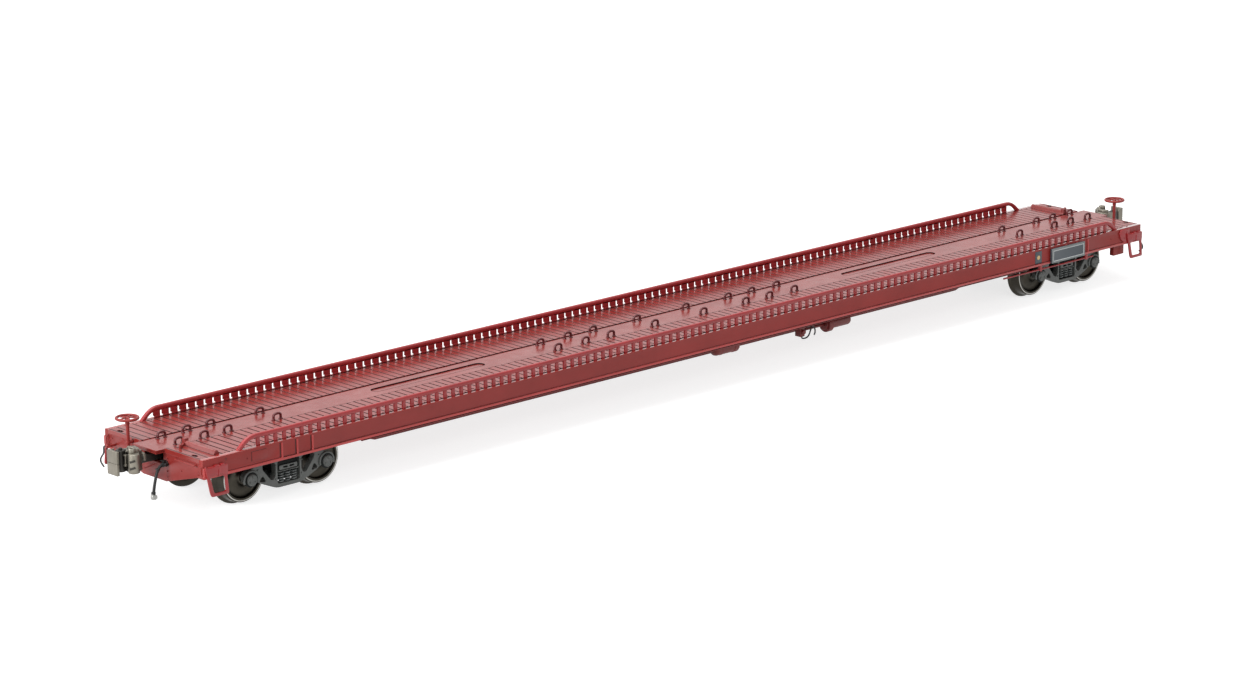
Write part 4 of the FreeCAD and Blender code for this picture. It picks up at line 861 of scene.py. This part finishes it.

# Wheelsets: turned metal, chemically blackened, with a narrow bright ring near each rim that is a
# painted highlight.
web_metal = bare_metal("blackened wheel metal", (0.026, 0.024, 0.020), (0.056, 0.050, 0.040), 0.26, 0.42, 2.0)
rim_highlight_metal = bare_metal("rim metal with painted highlight", (0.30, 0.295, 0.28), (0.50, 0.49, 0.46), 0.22, 0.36, 3.0)
wheel_line = [(0.8, 6.95), (1.3, 7.0), (1.4, 7.15), (1.5, 7.5), (2.2, 7.95), (3.4, 7.95), (3.85, 7.75), (3.98, 7.5),
              (4.02, 7.25), (4.1, 7.2), (5.05, 7.2), (5.25, 7.24), (5.4, 7.36), (5.45, 7.5), (5.42, 7.64), (5.3, 7.78),
              (5.1, 7.87), (4.98, 7.95), (4.92, 8.06), (4.88, 8.25), (4.78, 9.78), (4.74, 9.9), (4.64, 10.0),
              (4.55, 10.02), (4.36, 10.02), (4.1, 10.02), (4.02, 9.98), (3.95, 9.85), (3.9, 9.6), (3.7, 9.4),
              (3.2, 9.2), (2.4, 9.2), (1.8, 9.45), (1.42, 9.85), (1.3, 10.2), (1.2, 10.3), (0.62, 10.3), (0.6, 10.45),
              (0.6, 11.2), (0.3, 11.5), (0, 11.5)]
bright_in, bright_out, face_out = 4.37 * mm, 4.56 * mm, 9.9 * mm
wheelset = turned([(radius, -out) for radius, out in wheel_line[::-1]] + wheel_line, 56)
finished(stood(wheelset, (-90, 0, 0)), web_metal, rim_highlight_metal)
# Faces in that ring take the rim metal: the painted highlight.
for face in wheelset.data.polygons:
    if bright_in < math.hypot(face.center.x, face.center.z) < bright_out and abs(face.center.y) > face_out:
        face.material_index = 1
for name, end, place in (("a1", -1, -1), ("a2", -1, 1), ("b1", 1, -1), ("b2", 1, 1)):
    one = stood(twin(wheelset, 0), at=(end * truck_at + place * axle_out, 0, axle_z))
    seat(one, "wheels_" + name, None, "wheelset_" + name, body="axle_" + name, slot="wheel_metal")
bpy.data.objects.remove(wheelset)

# Couplers: die-cast zinc, tumbled and left bare, with a warm grey skin; the dark in the hollows is painted shade.
coupler_metal = bare_metal("cast coupler metal", (0.125, 0.115, 0.092), (0.26, 0.24, 0.20), 0.34, 0.52,
                           metallic=0.85, bump=0.35)
coupler_shade_metal = bare_metal("coupler metal in painted shade", (0.022, 0.020, 0.017), (0.050, 0.046, 0.040), 0.34, 0.52, metallic=0.7)
hinge_x, hinge_y, guard_x, guard_y, lug_x, lug_y = 137.3, -1.75, 137.1, 2.0, 136.9, 1.2
seat_arc = [(hinge_x + 1.03 * math.cos(math.radians(a)), hinge_y + 1.03 * math.sin(math.radians(a)))
            for a in (235, 217, 199, 181, 163, 145, 127, 109)]
core_line = [(134.3, -1.0), (135.4, -2.3), *seat_arc, (136.98, -0.5), (135.9, -0.5), (135.9, 0.95), (136.6, 1.6),
             (135.9, 1.9), (135.1, 1.0), (134.3, 0.7)]
core = stood(plate([core_line], 3.9, 0.12, 3), at=(0, 0, 10.15))
crown_line = soft_corners([(134.6, -0.9), (135.6, -1.7), (136.1, -1.5), (135.8, -0.4), (135.7, 0.7), (136.2, 1.2),
                           (135.7, 1.8), (134.9, 0.9)], 0.35)
crown = stood(plate([crown_line], 0.7, 0.2, 3), at=(0, 0, 12.3))
guard = stood(turned([(0, 8.5), (0.9, 8.5), (1.06, 8.6), (1.1, 8.8), (1.1, 11.7), (1.02, 12.05), (0.85, 12.2),
                      (0, 12.22)], 36), at=(guard_x, guard_y, 0))
lug = stood(turned([(0.28, 12.0), (0.7, 12.0), (0.74, 12.2), (0.74, 12.85), (0.68, 13.0), (0.4, 13.04), (0.3, 12.96),
                    (0.28, 12.0)], 24), at=(lug_x, lug_y, 0))
arm = block((135.6, 0.75, 12.1), (136.5, 1.7, 12.85), 0.2, 3)
ring = stood(turned([(0.62, -0.28), (0.9, -0.28), (0.98, -0.18), (0.98, 0.18), (0.9, 0.28), (0.62, 0.28),
                     (0.62, -0.28)], 28), (0, 90, 0), (133.75, 0, 10.45))
knob = stood(low_dome(0.36, 0.3, 12), at=(133.9, 0, 11.3))
head = finished(joined(core, crown, guard, lug, arm, ring, knob), coupler_metal, coupler_shade_metal)
# Faces in the throat's notch and round the bores take the dark metal: painted shade in those hollows.
for face in head.data.polygons:
    x, y, z = [length / mm for length in face.center]
    in_notch = 135.8 < x < 137.0 and -0.6 < y < 1.2 and z < 11.9
    in_bore = math.hypot(x - hinge_x, y - hinge_y) < 1.06 or math.hypot(x - lug_x, y - lug_y) < 0.31
    face.material_index = 1 if in_notch or in_bore else 0
on_coupler = {"body": "coupler_body_{}", "slot": "coupler_metal"}
seat_both(head, "coupler_head_{}", None, "coupler_{}", **on_coupler)

# What is painted dark on the coupler as shade: the shank, the drum's two slits, the floor of the throat
# and the knuckle's pin, which lie in the mouth or in the hollows of the casting.
shank = block((124.2, -0.8, 9.5), (134.4, 0.8, 11.0), 0.15, 3)
eye_ring = stood(turned([(0.76, 9.6), (1.5, 9.6), (1.6, 9.7), (1.6, 11.0), (1.5, 11.1), (0.76, 11.1), (0.76, 9.6)], 28),
                 at=(123.0, 0, 0))
slits = [stood(block((0.8, -0.55, -0.22), (1.14, 0.55, 0.22), 0.06), (18, 0, 40), (guard_x, guard_y, 10.3 + rise))
         for rise in (-0.65, 0.65)]
throat_floor = block((135.5, -0.5, 8.3), (137.2, 1.2, 8.9), 0.15)
pin = stood(turned([(0, 8.1), (0.35, 8.1), (0.35, 12.5), (0.28, 12.58), (0, 12.6)], 16), at=(hinge_x, hinge_y, 0))
holder = block((135.7, -0.4, 10.1), (137.2, 0.05, 10.7), 0.1)
seat_both(joined(shank, eye_ring, *slits, throat_floor, pin, holder), "coupler_dark_{}", coupler_shade_metal, **on_coupler)
bobbin = stood(turned([(0, 9.45), (0.4, 9.45), (0.43, 9.52), (0.4, 9.7), (0.26, 9.8), (0.26, 11.2), (0.4, 11.3),
                       (0.43, 11.48), (0.4, 11.55), (0, 11.55)], 20), at=(137.35, -0.17, 0))
seat_both(bobbin, "coupler_bobbin_{}", coupler_metal, **on_coupler)

# Knuckles: the same casting, a thin face plate in two halves on a hollow arm that turns round the
# pin; the arm is painted dark as the shade behind the plate.
plates = [block((139.25, -2.45, low), (139.9, 0.6, high), 0.13, 3) for low, high in ((8.06, 10.33), (10.33, 12.66))]
jaw = finished(joined(*plates, block((138.2, -2.62, 8.3), (139.4, -2.25, 12.5), 0.12, 3)), coupler_metal)
barrel = turned([(0.43, 8.1), (0.85, 8.1), (0.93, 8.2), (0.93, 12.1), (0.85, 12.2), (0.43, 12.2), (0.43, 8.1)], 28)
arm = finished(joined(block((137.9, -2.5, 8.4), (139.4, -1.0, 11.7), 0.2, 3), stood(barrel, at=(hinge_x, hinge_y, 0))),
               coupler_shade_metal)
seat_both(joined(jaw, arm), "jaw_{}", None, "knuckle_{}", body="knuckle_body_{}", slot="coupler_metal")

# Studio: the camera at the photograph's viewpoint, a pale floor and soft light from above and from
# both sides, as for a catalogue picture on white.
camera_at = Vector((-0.55284, -0.57756, 0.22037))
camera_yaw, camera_pitch, camera_roll = 0.7511, 0.2627, -0.0082
focal_pixels, picture_wide = 4041.57, 1244
camera_data = bpy.data.cameras.new("camera")
camera_data.sensor_width = 36.0
camera_data.lens = focal_pixels * camera_data.sensor_width / picture_wide
camera_data.clip_start, camera_data.clip_end = 0.01, 20.0
camera = bpy.data.objects.new("camera", camera_data)
camera.matrix_world = (Matrix.Translation(camera_at) @ Matrix.Rotation(-camera_yaw, 4, "Z")
                       @ Matrix.Rotation(math.pi / 2 - camera_pitch, 4, "X") @ Matrix.Rotation(camera_roll, 4, "Z"))
scene.collection.objects.link(camera)
scene.camera = camera
scene.view_settings.view_transform = "Standard"


def seen_share(tree):
    """1 for rays of the camera and of glossy faces, 0 for the light that falls on the model."""
    paths = put(tree, "LightPath").outputs
    return calc(tree, "MAXIMUM", paths["Is Camera Ray"], paths["Is Glossy Ray"])


floor_glow, backdrop_glow, fill_light = 0.76, 0.45, 0.55
floor = add("plane", size=8.0, location=(0, 0, cad_low.z - 0.00002))
floor.name = "studio_floor"
paper, tree, shader = new_material("pale paper")
shader["Base Color"].default_value = (0.42, 0.42, 0.42, 1)
shader["Roughness"].default_value = 0.9
shader["Emission Color"].default_value = (1, 1, 1, 1)
feed(tree, shader["Emission Strength"], calc(tree, "MULTIPLY", seen_share(tree), floor_glow))
finished(floor, paper)

world = bpy.data.worlds.new("studio light")
world.use_nodes = True
scene.world = world
backdrop = world.node_tree.nodes["Background"].inputs
backdrop["Color"].default_value = (1, 1, 1, 1)
glow = calc(world.node_tree, "MULTIPLY", seen_share(world.node_tree), backdrop_glow)
feed(world.node_tree, backdrop["Strength"], calc(world.node_tree, "ADD", glow, fill_light))


def softbox(name, at, aim, size, watts):
    """A square soft lamp that points at a place."""
    data = bpy.data.lights.new(name, "AREA")
    data.energy, data.size = watts, size
    lamp = bpy.data.objects.new(name, data)
    lamp.location = at
    lamp.rotation_euler = (Vector(aim) - Vector(at)).to_track_quat("-Z", "Y").to_euler()
    scene.collection.objects.link(lamp)


softbox("overhead", (-0.1, 0.25, 0.9), (0, 0, 0), 0.9, 9.0)
softbox("near side", (-0.5, -0.9, 0.55), (0, 0, 0.01), 0.5, 4.0)
softbox("left end", (-1.0, 0.1, 0.35), (-0.13, 0, 0.01), 0.4, 8.0)
